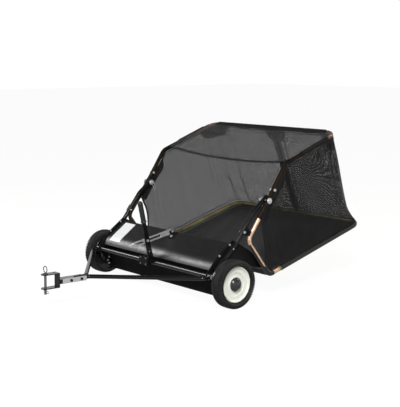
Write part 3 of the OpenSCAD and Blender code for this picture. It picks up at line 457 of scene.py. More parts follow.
LOOKS = (
    (GLOSS, "cover"),
    (SHIELD_PAINTED_SHADE, "front_shield"),
    (MATTE, "side_plate_left side_plate_right strap_bracket hopper_stops hitch_bolts lever_bracket"),
    (TUBE, "frame_tube_left frame_tube_right crossbar drawbar_left drawbar_right hitch_clevis lever "
           "rear_stay"),
    (STEEL, "stub_axles brush_shaft drive_pins"),
    (ZINC, "axle_nuts strap_pivot_bolt housing_bolts hopper_pins pivot_washers hairpins brush_bolts "
           "drawbar_bolts hitch_straps clamp_bolt wing_nut adjuster_strap hopper_bolts"),
    (NYLON, "brush_bushings"),
    (BLACK_PLASTIC, "crossbar_bushings ring_gear_left ring_gear_right"),
    (LABEL, "label_plate"),
    (CREAM, "wheel_disc_left wheel_disc_right"),
    (HUB_PLASTIC, "hub_cap_left hub_cap_right"),
    (SINTERED, "pinions"),
    (CORE, "brush_core"),
    (DARK_ZINC, "bracket_bolts hitch_pin hair_cotter"),
    (ARM_TUBE, "hopper_arm_left hopper_arm_right"),
    (HOOP_TUBE, "top_hoop"),
    (HOPPER_TUBE, "floor_hoop floor_front_tube"),
    (STRUT_TUBE, "hopper_struts"),
)
for look, names in LOOKS:
    for node in names.split():
        mesh = frame["nodes"][node].data
        mesh.materials.clear()
        mesh.materials.append(look)


# ---------------------------------------------------------------- mesh building
def make_object(name, verts, faces, material, body, uvs=None, replaces=()):
    """A piece from points and faces; uvs is one (u, v) per point."""
    mesh = bpy.data.meshes.new(name)
    mesh.from_pydata([tuple(map(float, v)) for v in verts], [], [tuple(map(int, f)) for f in faces])
    mesh.validate()
    if uvs is not None:
        layer = mesh.uv_layers.new(name="UVMap")
        index = np.zeros(len(mesh.loops), int)
        mesh.loops.foreach_get("vertex_index", index)
        layer.data.foreach_set("uv", np.asarray(uvs, np.float32)[index].ravel())
    mesh.polygons.foreach_set("use_smooth", [True] * len(mesh.polygons))
    mesh.materials.append(material)
    obj = bpy.data.objects.new(name, mesh)
    bpy.context.scene.collection.objects.link(obj)
    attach(obj, body)
    if replaces:
        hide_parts(*replaces)
    return obj


def grid_faces(nu, nv, wrap_u=False, wrap_v=False):
    faces = []
    for i in range(nu if wrap_u else nu - 1):
        for j in range(nv if wrap_v else nv - 1):
            a, b = i * nv + j, ((i + 1) % nu) * nv + j
            c, d = ((i + 1) % nu) * nv + (j + 1) % nv, i * nv + (j + 1) % nv
            faces.append((a, b, c, d))
    return faces


def grid_uv(grid):
    """UV in metres: mean length along each direction of a grid (nu, nv, 3)."""
    du = np.linalg.norm(np.diff(grid, axis=0), axis=2).mean(1)
    dv = np.linalg.norm(np.diff(grid, axis=1), axis=2).mean(0)
    u, v = np.r_[0, np.cumsum(du)], np.r_[0, np.cumsum(dv)]
    return np.stack(np.meshgrid(u, v, indexing="ij"), 2)


def grid_normals(grid):
    gu, gv = np.gradient(grid, axis=0), np.gradient(grid, axis=1)
    n = np.cross(gu, gv)
    return n / np.maximum(np.linalg.norm(n, axis=2, keepdims=True), 1e-12)


def sheet(name, grid, thickness, material, replaces=()):
    """A closed cloth panel of the hopper: a grid of points given a thickness, its four edges closed."""
    nu, nv = grid.shape[:2]
    n = grid_normals(grid)
    front, back = grid + n * thickness / 2, grid - n * thickness / 2
    verts = np.concatenate([front.reshape(-1, 3), back.reshape(-1, 3)])
    k = nu * nv
    quads = grid_faces(nu, nv)
    faces = list(quads) + [tuple(k + i for i in reversed(f)) for f in quads]
    rim = [i * nv for i in range(nu)] + [(nu - 1) * nv + j for j in range(1, nv)]
    rim += [i * nv + nv - 1 for i in range(nu - 2, -1, -1)] + list(range(nv - 2, 0, -1))
    for a, b in zip(rim, rim[1:] + rim[:1]):
        faces.append((b, a, k + a, k + b))
    uv = grid_uv(grid).reshape(-1, 2)
    uvs = np.concatenate([uv, uv + [BACK_U, 0]])
    return make_object(name, verts, faces, material, "hopper", uvs, replaces)


def sweep(name, path, section, material, body="hopper", ups=None):
    """A closed bar: a 2-D section (k, 2), or one per path point (n, k, 2), swept along a path (n, 3)."""
    path = np.asarray(path, float)
    n = len(path)
    section = np.asarray(section, float)
    if section.ndim == 2:
        section = np.repeat(section[None], n, 0)
    k = section.shape[1]
    tangent = np.gradient(path, axis=0)
    tangent /= np.linalg.norm(tangent, axis=1, keepdims=True)
    up = np.asarray(ups, float) if ups is not None else None
    verts, uvs = [], []
    last = unit(np.cross(tangent[0], [0.31, 0.2, 0.93]))
    length = np.r_[0, np.cumsum(np.linalg.norm(np.diff(path, axis=0), axis=1))]
    for i in range(n):
        ref = up[i] if up is not None and up.ndim == 2 else (up if up is not None else last)
        side = np.cross(tangent[i], ref)
        side = unit(side) if np.linalg.norm(side) > 1e-9 else last
        top = np.cross(side, tangent[i])
        if up is None:
            last = top
        verts.append(path[i] + section[i][:, :1] * side + section[i][:, 1:] * top)
        around = np.linspace(0, 1, k, endpoint=False) * 0.02
        uvs.append(np.stack([np.full(k, length[i]), around], 1))
    faces = [tuple(f) for f in grid_faces(n, k, wrap_v=True)]
    faces += [tuple(range(k)), tuple(reversed([(n - 1) * k + j for j in range(k)]))]
    return make_object(name, np.concatenate(verts), faces, material, body, np.concatenate(uvs))


def circle(r, k=10):
    a = np.linspace(0, 2 * math.pi, k, endpoint=False)
    return np.stack([r * np.cos(a), r * np.sin(a)], 1)


def strip_section(width, thick):
    """Flat tape with rounded edges, wide along the first axis."""
    w, t = width / 2, thick / 2
    crown = t * 1.15
    outline = [[-w, 0], [-w + t, -t], [0, -crown], [w - t, -t], [w, 0], [w - t, t], [0, crown], [-w + t, t]]
    return np.array(outline)


def tape(name, points, normals, width, thick, lift=0.001):
    """A binding tape that lies on a surface along points, with the surface's normals."""
    points, normals = np.asarray(points, float), np.asarray(normals, float)
    return sweep(name, points + normals * lift, strip_section(width, thick), BINDING, ups=normals)


def drape(grid, pinned, frames=24, slack=0.01, cap=0.02, gravity=1.0):
    """Lets a grid of cloth hang from its pinned points and returns the new grid.
    slack is how much longer the cloth is than its frame; cap is the furthest a point may move."""
    nu, nv = grid.shape[:2]
    mesh = bpy.data.meshes.new("drape")
    mesh.from_pydata([tuple(p) for p in grid.reshape(-1, 3)], [], grid_faces(nu, nv))
    obj = bpy.data.objects.new("drape", mesh)
    scene = bpy.context.scene
    scene.collection.objects.link(obj)
    group = obj.vertex_groups.new(name="pin")
    group.add([int(i) for i in np.flatnonzero(pinned.reshape(-1))], 1.0, "REPLACE")
    cloth = obj.modifiers.new("cloth", "CLOTH")
    s = cloth.settings
    s.quality, s.mass, s.air_damping = 5, 0.12, 2.0
    s.tension_stiffness = s.compression_stiffness = 12
    s.shear_stiffness, s.bending_stiffness = 4, 0.05
    s.vertex_group_mass = "pin"
    s.shrink_min = -slack
    s.effector_weights.gravity = gravity
    cloth.collision_settings.use_collision = False
    cloth.point_cache.frame_start, cloth.point_cache.frame_end = 1, frames
    for f in range(1, frames + 1):
        scene.frame_set(f)
    evaluated = obj.evaluated_get(bpy.context.evaluated_depsgraph_get())
    co = np.zeros(len(evaluated.data.vertices) * 3)
    evaluated.data.vertices.foreach_get("co", co)
    bpy.data.objects.remove(obj)
    bpy.data.meshes.remove(mesh)
    scene.frame_set(1)
    move = co.reshape(nu, nv, 3) - grid
    size = np.linalg.norm(move, axis=2, keepdims=True)
    return grid + move * np.minimum(1, cap / np.maximum(size, 1e-9))


def polyline_distance(p, line):
    """Distance of points (n, 2) from a polyline, and how far along it, 0..1."""
    line = np.asarray(line, float)
    best = np.full(len(p), 1e9)
    along = np.zeros(len(p))
    for k, (a, b) in enumerate(zip(line, line[1:])):
        d = b - a
        t = np.clip(((p - a) @ d) / (d @ d), 0, 1)
        dist = np.linalg.norm(p - a - t[:, None] * d, axis=1)
        near = dist < best
        best[near] = dist[near]
        along[near] = (k + t[near]) / (len(line) - 1)
    return best, along


def wobble(x, seed, terms=5, low=1.0, high=7.0):
    """A smooth pseudo-random wave of about unit size."""
    g = np.random.default_rng(seed)
    total = 0
    for _ in range(terms):
        size = g.uniform(0.4, 1)
        total = total + size * np.sin(2 * math.pi * g.uniform(low, high) * x + g.uniform(0, 6.28))
    return total / math.sqrt(terms)


# ---------------------------------------------------------------- hopper: side and back wall
PANEL = TUBE_R + 0.0015
ARM_PERP = np.array([ARM_DIR[1], -ARM_DIR[0]])
STRUT_LEN = float(np.linalg.norm(LOW_FRONT - NOSE))
ARM_START = 0.158  # the panel leaves the arm this far above the nose
ARM_END = float(np.linalg.norm(PIVOT - NOSE))
LOW_UP = np.array([-LOW_DIR[1], LOW_DIR[0]])
UPPER_DIR = unit(SHOULDER - PIVOT)
UPPER_PERP = np.array([UPPER_DIR[1], -UPPER_DIR[0]])
NOTCH = (0.033, 0.077)  # bare length of the floor tube near its front
NOTCH_LIFT = 0.022
SIDE_STEPS, FLANK_STEPS, LONG_STEPS, ARC_STEPS, REAR_STEPS, WALL_ROWS = 8, 26, 44, 14, 44, 34
SPLIT_S = 0.30 * LOW_LEN  # floor station level with the shoulder


def side_edge_low():
    """Lower edge of the wall on the left side, from the front corner round to the middle of the rear."""
    pts = []
    straight = LOW_LEN - HOOP_R
    stations = list(np.linspace(0.022, SPLIT_S, SIDE_STEPS + FLANK_STEPS, endpoint=False))
    stations += list(np.linspace(SPLIT_S, straight, LONG_STEPS, endpoint=False))
    stations += list(straight + np.linspace(0, HOOP_R * math.pi / 2, ARC_STEPS, endpoint=False))
    stations += list(straight + HOOP_R * math.pi / 2 + np.linspace(0, HALF - HOOP_R, REAR_STEPS))
    for s in stations:
        out = smooth(0.02, 0.10, s)
        angle = 90 - 32 * out
        p = hoop_ring(LOW_FRONT, LOW_DIR, LOW_LEN, s, angle)
        lift = NOTCH_LIFT * smooth(NOTCH[0] - 0.012, NOTCH[0] + 0.006, s)
        lift *= 1 - smooth(NOTCH[1] - 0.006, NOTCH[1] + 0.014, s)
        pts.append(p + yz(0, LOW_UP * lift))
    return np.array(pts)


def side_edge_top():
    """Upper edge of the wall on the left side, in step with the lower edge."""
    pts = []
    for t in np.linspace(ARM_START, ARM_END, SIDE_STEPS, endpoint=False):
        pts.append(yz(HALF, NOSE + ARM_DIR * t + ARM_PERP * PANEL))
    a, b = PIVOT + ARM_PERP * PANEL, SHOULDER + UPPER_PERP * PANEL + TOP_DIR * 0.004
    for t in np.linspace(0, 1, FLANK_STEPS, endpoint=False):
        pts.append(yz(HALF, a + t * (b - a) + UPPER_PERP * 0.003 * math.sin(math.pi * t)))
    straight = TOP_LEN - HOOP_R
    stations = list(np.linspace(0.016, straight, LONG_STEPS, endpoint=False))
    stations += list(straight + np.linspace(0, HOOP_R * math.pi / 2, ARC_STEPS, endpoint=False))
    stations += list(straight + HOOP_R * math.pi / 2 + np.linspace(0, HALF - HOOP_R, REAR_STEPS))
    for s in stations:
        pts.append(hoop_ring(SHOULDER, TOP_DIR, TOP_LEN, s, -88 + 40 * float(smooth(0.10, 0.16, s))))
    return np.array(pts)


low_edge, top_edge = side_edge_low(), side_edge_top()
COLUMNS = len(low_edge)
I_FLANK, I_LONG = SIDE_STEPS, SIDE_STEPS + FLANK_STEPS
I_ARC, I_REAR = I_LONG + LONG_STEPS, I_LONG + LONG_STEPS + ARC_STEPS
v = np.linspace(0, 1, WALL_ROWS)
half_wall = low_edge[:, None] * (1 - v)[None, :, None] + top_edge[:, None] * v[None, :, None]
column = np.arange(COLUMNS)

# The free front edge of each side, between the arm and the front corner of the floor.
FRONT_EDGE = {
    "left": PIVOT + [[-0.007, -0.350], [-0.012, -0.293], [-0.012, -0.255], [-0.021, -0.209], [-0.042, -0.138]],
    "right": PIVOT + [[0.006, -0.330], [-0.001, -0.250], [0.000, -0.204], [-0.016, -0.144], [-0.052, -0.092]],
}


def front_pull(side_name):
    """How far the wall is pulled back from straight columns by its curved front edge."""
    path = lerp_path(np.vstack([low_edge[0, 1:], FRONT_EDGE[side_name], top_edge[0, 1:]]), v)
    for _ in range(12):
        path[1:-1] = (path[:-2] + 2 * path[1:-1] + path[2:]) / 4
    straight_column = low_edge[0, 1:] * (1 - v)[:, None] + top_edge[0, 1:] * v[:, None]
    fade = 1 - smooth(0, SIDE_STEPS + FLANK_STEPS - 4, column)
    pull = np.zeros((COLUMNS, WALL_ROWS, 3))
    pull[..., 1:] = fade[:, None, None] * (path - straight_column)[None]
    return pull


# The corner of the wall is drawn in above the floor and flares out to the floor hoop.
inward = np.zeros((COLUMNS, 3))
for i in range(COLUMNS):
    if i >= I_LONG:
        a = min(1.0, max(0.0, (i - I_ARC) / ARC_STEPS)) * math.pi / 2
        inward[i] = [-math.cos(a), -math.sin(a) * LOW_DIR[0], -math.sin(a) * LOW_DIR[1]]
    else:
        inward[i] = [-1, 0, 0]
corner = np.exp(-((column - (I_ARC + ARC_STEPS / 2)) / 16.0) ** 2)
draw_in = smooth(0.0, 0.15, v) * (1 - smooth(0.15, 1.0, v)) ** 1.1
half_wall += inward[:, None] * (corner[:, None] * draw_in[None, :] * 0.024)[:, :, None]
# A light bow inwards everywhere else.
from_middle = np.clip((COLUMNS - 1 - column) / (REAR_STEPS - 1), 0, 1) * (HALF - HOOP_R)
off_stay = 1 - np.exp(-(from_middle / 0.075) ** 2)  # the stay holds the middle of the back out
bow_depth = (0.002 + 0.006 * smooth(0, 30, column) * off_stay) * (1 - corner)
bow = np.sin(math.pi * v)[None, :] * bow_depth[:, None]
half_wall += inward[:, None] * bow[:, :, None]

# Soft folds on the sides: a fan from the front lower corner, a long fold below the pivot and one near
# the rear edge.
flat = half_wall.reshape(-1, 3)
side = (np.repeat(column, WALL_ROWS) < I_ARC + 4).astype(float)
edge_fade = np.tile(smooth(0, 0.10, v) * (1 - smooth(0.90, 1, v)), COLUMNS)
away = flat[:, 1:] - (LOW_FRONT + np.array([0.0, 0.01]))
far = np.linalg.norm(away, axis=1)
turn = np.arctan2(away[:, 1], away[:, 0])
fan = 0.0016 * np.exp(-((far - 0.10) / 0.17) ** 2) * np.sin(turn * 11 + 0.6 + wobble(far, 3, 3, 1, 4) * 0.5)
LONG_FOLD = PIVOT + [[0.060, 0.040], [0.052, -0.040], [0.046, -0.124], [0.052, -0.185], [0.060, -0.234],
                     [0.072, -0.310]]
dist = polyline_distance(flat[:, 1:], LONG_FOLD)[0]
fold = 0.0030 * np.exp(-(dist / 0.016) ** 2) - 0.0020 * np.exp(-((dist - 0.030) / 0.022) ** 2)
REAR_FOLD = PIVOT + [[0.447, 0.290], [0.503, 0.095], [0.531, 0.008], [0.545, -0.060]]
dist2, along2 = polyline_distance(flat[:, 1:], REAR_FOLD)
fold2 = -0.0040 * np.exp(-(dist2 / 0.010) ** 2) * (1 - smooth(0.7, 1.0, along2))
drift = 0.0010 * wobble(flat[:, 1] * 1.3 + flat[:, 2] * 0.6, 11, 5, 1, 5)
drift *= np.tile(np.sin(math.pi * v), COLUMNS)
flat[:, 0] += side * edge_fade * (fan + fold + fold2 + drift)
# Shallow upright ripples on the back.
back = (np.repeat(column, WALL_ROWS) >= I_REAR).astype(float)
ripple = 0.0018 * wobble(flat[:, 0] * 2.0, 17, 6, 1, 6) * np.tile(np.sin(math.pi * v) ** 0.7, COLUMNS)
ripple *= np.repeat(off_stay, WALL_ROWS)
flat[:, 1] += back * ripple
half_wall = flat.reshape(COLUMNS, WALL_ROWS, 3)

mirror = (half_wall + front_pull("right"))[:-1][::-1] * np.array([-1, 1, 1])
wall = np.concatenate([half_wall + front_pull("left"), mirror])
pinned = np.zeros(wall.shape[:2], bool)
pinned[:, 0] = pinned[:, -1] = True
pinned[0, :] = pinned[-1, :] = True
pinned[COLUMNS - 4:COLUMNS + 3, :] = True
wall = drape(wall, pinned, frames=20, slack=0.002, cap=0.004)
WALL_N = grid_normals(wall)
if WALL_N[I_LONG + 10, 15, 0] < 0:
    WALL_N = -WALL_N


def wall_at(i, row):
    """Point and outward normal on the wall at a fractional column and a height 0..1."""
    i = float(np.clip(i, 0, len(wall) - 1.001))
    j = float(np.clip(row, 0, 0.9999)) * (WALL_ROWS - 1)
    a, b, fa, fb = int(i), int(j), i - int(i), j - int(j)
    mixed = []
    for g in (wall, WALL_N):
        low_row = g[a, b] * (1 - fa) + g[a + 1, b] * fa
        high_row = g[a, b + 1] * (1 - fa) + g[a + 1, b + 1] * fa
        mixed.append(low_row * (1 - fb) + high_row * fb)
    return mixed[0], unit(mixed[1])


def back_column(x):
    """Column of the wall at a given X on its back."""
    return I_REAR + (HALF - HOOP_R - x) / (HALF - HOOP_R) * (REAR_STEPS - 1)


def mirrored_column(i):
    return len(wall) - 1 - i


sheet("hopper_wall", wall, 0.0010, MESH, replaces=("side_panels", "back_panel"))


def wall_tape(name, columns, heights, width, thick=0.0016, lift=0.0016):
    p, n = zip(*[wall_at(i, h) for i, h in zip(columns, heights)])
    return tape(name, p, n, width, thick, lift)


steps = np.linspace(0.004, 0.996, 40)
STAY_BAND = (-0.010, 0.084)  # sleeve band on the back that holds the stay
STAY_X = 0.018
for k, (x, w) in enumerate([(STAY_BAND[0], 0.009), (STAY_BAND[1], 0.011), (STAY_X - 0.016, 0.004),
                            (STAY_X + 0.018, 0.004)]):
    wall_tape(f"back_tape_{k}", [back_column(x)] * 40, steps, w, lift=-0.0016)
BACK_SEAM_X = 0.385
wall_tape("back_seam_far", [back_column(-BACK_SEAM_X)] * 40, steps, 0.0040, lift=-0.0014)
wall_tape("back_seam_near", [back_column(BACK_SEAM_X)] * 40, steps, 0.0040, lift=-0.0014)


def wall_patch(name, columns, heights, lift, material):
    """Cloth laid on the wall: columns (n,) and heights (n, m)."""
    spots = [[wall_at(i, h) for h in hs] for i, hs in zip(columns, heights)]
    grid = np.array([[p + n * lift for p, n in row] for row in spots])
    return sheet(name, grid, 0.0010, material)


band = np.linspace(back_column(STAY_BAND[0]), back_column(0.046), 12)
wall_patch("stay_sleeve", band, np.repeat(np.linspace(0.01, 0.99, 30)[None], 12, 0), 0.0028, MESH_DOUBLE)


def bound_patch(name, centre, half_width, depth, lift=-0.0026):
    """A rounded reinforcing patch that hangs from the top of the wall, with tape round its free edge."""
    t = np.linspace(-1, 1, 25)
    drop = depth * (1 - np.abs(t) ** 3.2) ** 0.5
    cols = centre + t * half_width
    rows_ = np.array([1 - d * np.linspace(0, 1, 10)[::-1] - 0.002 for d in np.maximum(drop, 0.012)])
    wall_patch(name, cols, rows_, lift, MESH_DOUBLE)
    wall_tape(name + "_tape", cols, 1 - np.maximum(drop, 0.012) - 0.002, 0.009, 0.0024, lift - 0.0008)


BACK_HEIGHT = float(np.linalg.norm(wall[I_REAR + 10, 0] - wall[I_REAR + 10, -1]))
centre_patch = back_column(0.026)
bound_patch("patch_centre", centre_patch, abs(centre_patch - back_column(-0.053)), 0.075 / BACK_HEIGHT)
bound_patch("patch_left", I_ARC + ARC_STEPS / 2, ARC_STEPS / 2 + 5, 0.068 / BACK_HEIGHT)
bound_patch("patch_right", mirrored_column(I_ARC + ARC_STEPS / 2), ARC_STEPS / 2 + 5, 0.068 / BACK_HEIGHT)

# Hems along the arms and struts, and seams at the rear corners.
for tag, fn in (("left", lambda i: i), ("right", mirrored_column)):
    idx = np.linspace(0.2, I_LONG - 0.5, 60)
    wall_tape(f"arm_hem_{tag}", [fn(i) for i in idx], [0.985] * 60, 0.012, 0.0024, 0.0006)
    edge = wall[0] if tag == "left" else wall[-1]
    sweep(f"front_hem_cord_{tag}", edge, circle(0.0034, 10), BINDING)
    wall_tape(f"front_hem_{tag}", [fn(0.9)] * 40, steps, 0.007, 0.0020, 0.0008)
    idx = np.linspace(I_FLANK, I_REAR, 110)
    wall_tape(f"floor_seam_{tag}", [fn(i) for i in idx], [0.030] * 110, 0.005, 0.0016, 0.0014)
    idx = np.linspace(I_LONG + 1, I_REAR, 90)
    wall_tape(f"top_seam_{tag}", [fn(i) for i in idx], [0.975] * 90, 0.006, 0.0016, 0.0014)
    wall_tape(f"corner_seam_{tag}", [fn(I_ARC + ARC_STEPS * 0.55)] * 40, steps, 0.0035, 0.0018, 0.0012)
idx = np.linspace(I_REAR, mirrored_column(I_REAR), 120)
wall_tape("back_top_seam", idx, [0.975] * 120, 0.006, 0.0016, 0.0014)
wall_tape("back_low_seam", idx, [0.030] * 120, 0.005, 0.0016, 0.0014)

# A dark double gusset behind each arm, just inside the wall, bound with tape.
GUSSET = PIVOT + [[-0.057, -0.088], [-0.012, -0.110], [0.026, -0.042], [0.068, 0.015], [0.124, 0.076],
                  [0.112, 0.148], [0.110, 0.168]]
GUSSET_ARM = [NOSE + ARM_DIR * 0.140, PIVOT, SHOULDER - UPPER_DIR * 0.008]


def wall_x(points, side_sign):
    """Distance of the wall from the middle plane at points (n, 2) in YZ."""
    near = wall[:I_ARC] if side_sign > 0 else wall[-I_ARC:]
    cloud_pts = near.reshape(-1, 3)
    gap = np.linalg.norm(points[:, None] - cloud_pts[None, :, 1:], axis=2)
    order = np.argsort(gap, axis=1)[:, :6]
    weight = 1 / (np.take_along_axis(gap, order, 1) + 0.004) ** 2
    return (np.abs(cloud_pts[:, 0])[order] * weight).sum(1) / weight.sum(1)


for tag, sign in (("left", 1), ("right", -1)):
    t = np.linspace(0, 1, 48)
    inner_line = lerp_path(GUSSET_ARM, t) + ARM_PERP * (PANEL + 0.001)
    outer_line = lerp_path(GUSSET, t)
    for _ in range(4):
        outer_line[1:-1] = (outer_line[:-2] + 2 * outer_line[1:-1] + outer_line[2:]) / 4
    w = np.linspace(0, 1, 12)[:, None, None]
    flat2 = inner_line[None] * (1 - w) + outer_line[None] * w
    x = wall_x(flat2.reshape(-1, 2), sign).reshape(flat2.shape[:2]) - 0.0030
    x = np.minimum(x, HALF - 0.0030) + 0.0006 * np.sin(t * 13)[None, :] * w[..., 0]
    grid = np.concatenate([(x * sign)[..., None], flat2], 2)
    sheet(f"arm_gusset_{tag}", grid, 0.0012, MESH_DOUBLE)
    sideways = np.repeat([[1.0, 0, 0]], len(t), 0)
    tape(f"arm_gusset_tape_{tag}", grid[-1], sideways, 0.008, 0.0026, lift=0)
    tape(f"arm_gusset_stitch_{tag}", grid[-2] * 0.6 + grid[-3] * 0.4, sideways, 0.0024, 0.0020, lift=0)

# Cloth wrapped round each strut: it leaves a bare band on the outside and closes over the lower end.
CORNER_BEND = 0.038


def front_corner_path():
    """Axis of the strut, its lower bend and the start of the floor hoop, in YZ."""
    half_turn = math.acos(float(STRUT_DIR @ LOW_DIR)) / 2
    trim = CORNER_BEND * math.tan(half_turn)
    bisector = unit(LOW_DIR - STRUT_DIR)
    middle = LOW_FRONT + bisector * CORNER_BEND / math.cos(half_turn)
    pts = [NOSE + STRUT_DIR * t for t in np.linspace(0.024, STRUT_LEN - trim, 36)]
    first, last = pts[-1] - middle, LOW_FRONT + LOW_DIR * trim - middle
    for t in np.linspace(0, 1, 14)[1:]:
        pts.append(middle + unit(first * (1 - t) + last * t) * CORNER_BEND)
    pts += [LOW_FRONT + LOW_DIR * t for t in np.linspace(trim, 0.031, 4)[1:]]
    return np.array(pts)


corner_line = front_corner_path()
travel = np.r_[0, np.cumsum(np.linalg.norm(np.diff(corner_line, axis=0), axis=1))]
tangent = np.gradient(corner_line, axis=0)
tangent /= np.linalg.norm(tangent, axis=1, keepdims=True)
for tag, sign, seed in (("left", 1, 61), ("right", -1, 62)):
    bare = 33 * (1 - smooth(travel[-1] - 0.105, travel[-1] - 0.080, travel)) + 1.5
    low_angle = bare + (3.5 * wobble(travel * 2.2, seed, 6, 1, 6)) * (bare > 10)
    high_angle = bare + (3.5 * wobble(travel * 2.2, seed + 5, 6, 1, 6)) * (bare > 10)
    grid = np.zeros((len(travel), 28, 3))
    for i, (p, d) in enumerate(zip(corner_line, tangent)):
        for j, a in enumerate(np.radians(np.linspace(low_angle[i], 360 - high_angle[i], 28))):
            r = WRAP + 0.0005 * math.sin(j * 1.7 + i * 0.9) * 0.5
            grid[i, j] = yz(sign * (HALF + r * math.cos(a)), p + np.array([-d[1], d[0]]) * r * math.sin(a))
    sheet(f"strut_wrap_{tag}", grid, 0.0010, FLOOR_CLOTH)
    for edge_name, j in (("front", 0), ("rear", 27)):
        sweep(f"strut_wrap_{edge_name}_hem_{tag}", grid[:-4, j], circle(0.0015, 8), BINDING)

# ---------------------------------------------------------------- hopper: floor
FLOOR_ROWS, FLOOR_COLUMNS = 56, 60


def half_width_at(s, length, inset):
    """Half width of a sheet inside a hoop at station s, with rounded rear corners."""
    over = np.clip(s - (length - HOOP_R), 0, HOOP_R)
    return HALF - HOOP_R + np.sqrt(np.maximum(HOOP_R ** 2 - over ** 2, 0)) - inset * (1 - 0.6 * over / HOOP_R)


floor_s = np.r_[np.linspace(0.030, LOW_LEN - HOOP_R, FLOOR_ROWS - 14, endpoint=False),
                LOW_LEN - HOOP_R + (HOOP_R - 0.003) * np.sin(np.linspace(0, math.pi / 2, 14))]
across = np.linspace(-1, 1, FLOOR_COLUMNS)
S, A = np.meshgrid(floor_s, across, indexing="ij")
width_row = half_width_at(floor_s, LOW_LEN, 0.003)
tt = (S - floor_s[0]) / (floor_s[-1] - floor_s[0])
inside = (1 - A ** 2) ** 0.6 * np.sin(math.pi * np.clip(tt, 0, 1)) ** 0.6
drop = -WRAP * 0.98 - 0.016 * inside + 0.0022 * wobble(A * 0.9 + tt * 0.5, 5, 5, 1, 5) * inside
pucker = 0.0030 * np.exp(-((tt - 0.02) / 0.10) ** 2) * np.sin(A * 46)
drop += pucker * (1 - np.abs(A) ** 8) * smooth(0.0, 0.03, tt)
floor = np.zeros(S.shape + (3,))
floor[..., 0] = A * width_row[:, None]
floor[..., 1] = LOW_FRONT[0] + LOW_DIR[0] * S + LOW_UP[0] * drop
floor[..., 2] = LOW_FRONT[1] + LOW_DIR[1] * S + LOW_UP[1] * drop
pinned = np.zeros(S.shape, bool)
pinned[0], pinned[-1], pinned[:, 0], pinned[:, -1] = True, True, True, True
floor = drape(floor, pinned, frames=16, slack=0.004, cap=0.010)
sheet("hopper_floor", floor, 0.0014, FLOOR_CLOTH, replaces=("floor_sheet",))

# Cloth wrapped under the floor hoop from the wall to the floor.
span = hoop_total(LOW_LEN)
straight, quarter = LOW_LEN - HOOP_R, HOOP_R * math.pi / 2
stations = np.r_[np.linspace(NOTCH[1] + 0.012, straight, 40), straight + np.linspace(0.006, quarter, 14),
                 straight + quarter + np.linspace(0.02, HALF - HOOP_R, 40)]
stations = np.r_[stations, (span - stations[:-1])[::-1]]
angles = np.linspace(64, -104, 16)
pleat = 1 + 0.035 * wobble(stations * 3, 23, 6, 2, 11)
fullness = 0.0009 * (1 - (angles / 110) ** 2)
wrap_grid = np.array([[hoop_ring(LOW_FRONT, LOW_DIR, LOW_LEN, s, a, WRAP + f * e)
                       for a, e in zip(angles, fullness)] for s, f in zip(stations, pleat)])
sheet("floor_wrap", wrap_grid, 0.0010, FLOOR_CLOTH)

# Sleeve of the floor round the front tube.
ft_lo, ft_hi = box_np("floor_front_tube")
ft = (ft_lo + ft_hi) / 2
xs = np.linspace(ft_lo[0] + 0.010, ft_hi[0] - 0.010, 80)
ring = np.linspace(0, 2 * math.pi, 17)[:-1]
loose = 1 + 0.03 * wobble(xs, 31, 6, 2, 9)
sleeve = np.array([[[x, ft[1] + WRAP * f * math.cos(a), ft[2] + WRAP * f * math.sin(a)] for a in ring]
                   for x, f in zip(xs, loose)])
faces = grid_faces(80, 16, wrap_v=True)
inner = sleeve.copy()
inner[..., 1:] = ft[1:] + (inner[..., 1:] - ft[1:]) * 0.965
k = 80 * 16
faces += [tuple(k + i for i in reversed(f)) for f in grid_faces(80, 16, wrap_v=True)]
for row in (0, 79):
    for j in range(16):
        a, b = row * 16 + j, row * 16 + (j + 1) % 16
        faces.append((b, a, k + a, k + b) if row == 0 else (a, b, k + b, k + a))
uv = np.stack(np.meshgrid(xs, ring * WRAP, indexing="ij"), 2).reshape(-1, 2)
verts = np.concatenate([sleeve.reshape(-1, 3), inner.reshape(-1, 3)])
make_object("front_tube_sleeve", verts, faces, FLOOR_CLOTH, "hopper", np.concatenate([uv, uv]))

# ---------------------------------------------------------------- hopper: top panel
TOP_UP = np.array([-TOP_DIR[1], TOP_DIR[0]])
HEM_DROOP = 0.030
ROWS, COLS = 46, 72
across = np.linspace(-1, 1, COLS)
hem_s = 0.034 - 0.012 * across
rear_s = TOP_LEN - HOOP_R + (HOOP_R - 0.002) * np.sin(np.linspace(0, math.pi / 2, 12))
body_t = np.linspace(0, 1, ROWS - 12, endpoint=False)
S = np.zeros((ROWS, COLS))
for j in range(COLS):
    S[:ROWS - 12, j] = hem_s[j] + body_t * (TOP_LEN - HOOP_R - hem_s[j])
    S[ROWS - 12:, j] = rear_s
width_row = half_width_at(S.mean(1), TOP_LEN, 0.002)
A = np.repeat(across[None], ROWS, 0)
tt = (S - hem_s[None]) / (TOP_LEN - hem_s[None])
droop = HEM_DROOP * (1 - np.abs(A) ** 2.2) * (1 - tt) ** 1.35
belly = 0.014 * (1 - A ** 2) * np.sin(math.pi * tt) ** 0.8
from_rear = (1 - tt) * TOP_LEN
gather = 0.0048 * np.exp(-(from_rear / 0.075) ** 2)
gather *= np.sin(from_rear * 2 * math.pi / 0.052 + 1.2 * wobble(A, 41, 4, 0.5, 2.5))
gather *= smooth(0.0, 0.02, 1 - tt) * (1 - np.abs(A) ** 10)
edge_pull = 0.0040 * np.exp(-((1 - np.abs(A)) / 0.22) ** 2) * smooth(0, 0.08, 1 - np.abs(A))
edge_pull *= np.sin(tt * TOP_LEN * 2 * math.pi / 0.060 + 0.8)
scallop = 0.0028 * np.exp(-(tt * TOP_LEN / 0.022) ** 2) * np.sin(A * 58 + wobble(A, 43, 3, 1, 3))
height = WRAP * 0.99 * (1 - 0.15 * (1 - np.abs(A))) - droop - belly + gather + edge_pull + scallop
top = np.zeros(S.shape + (3,))
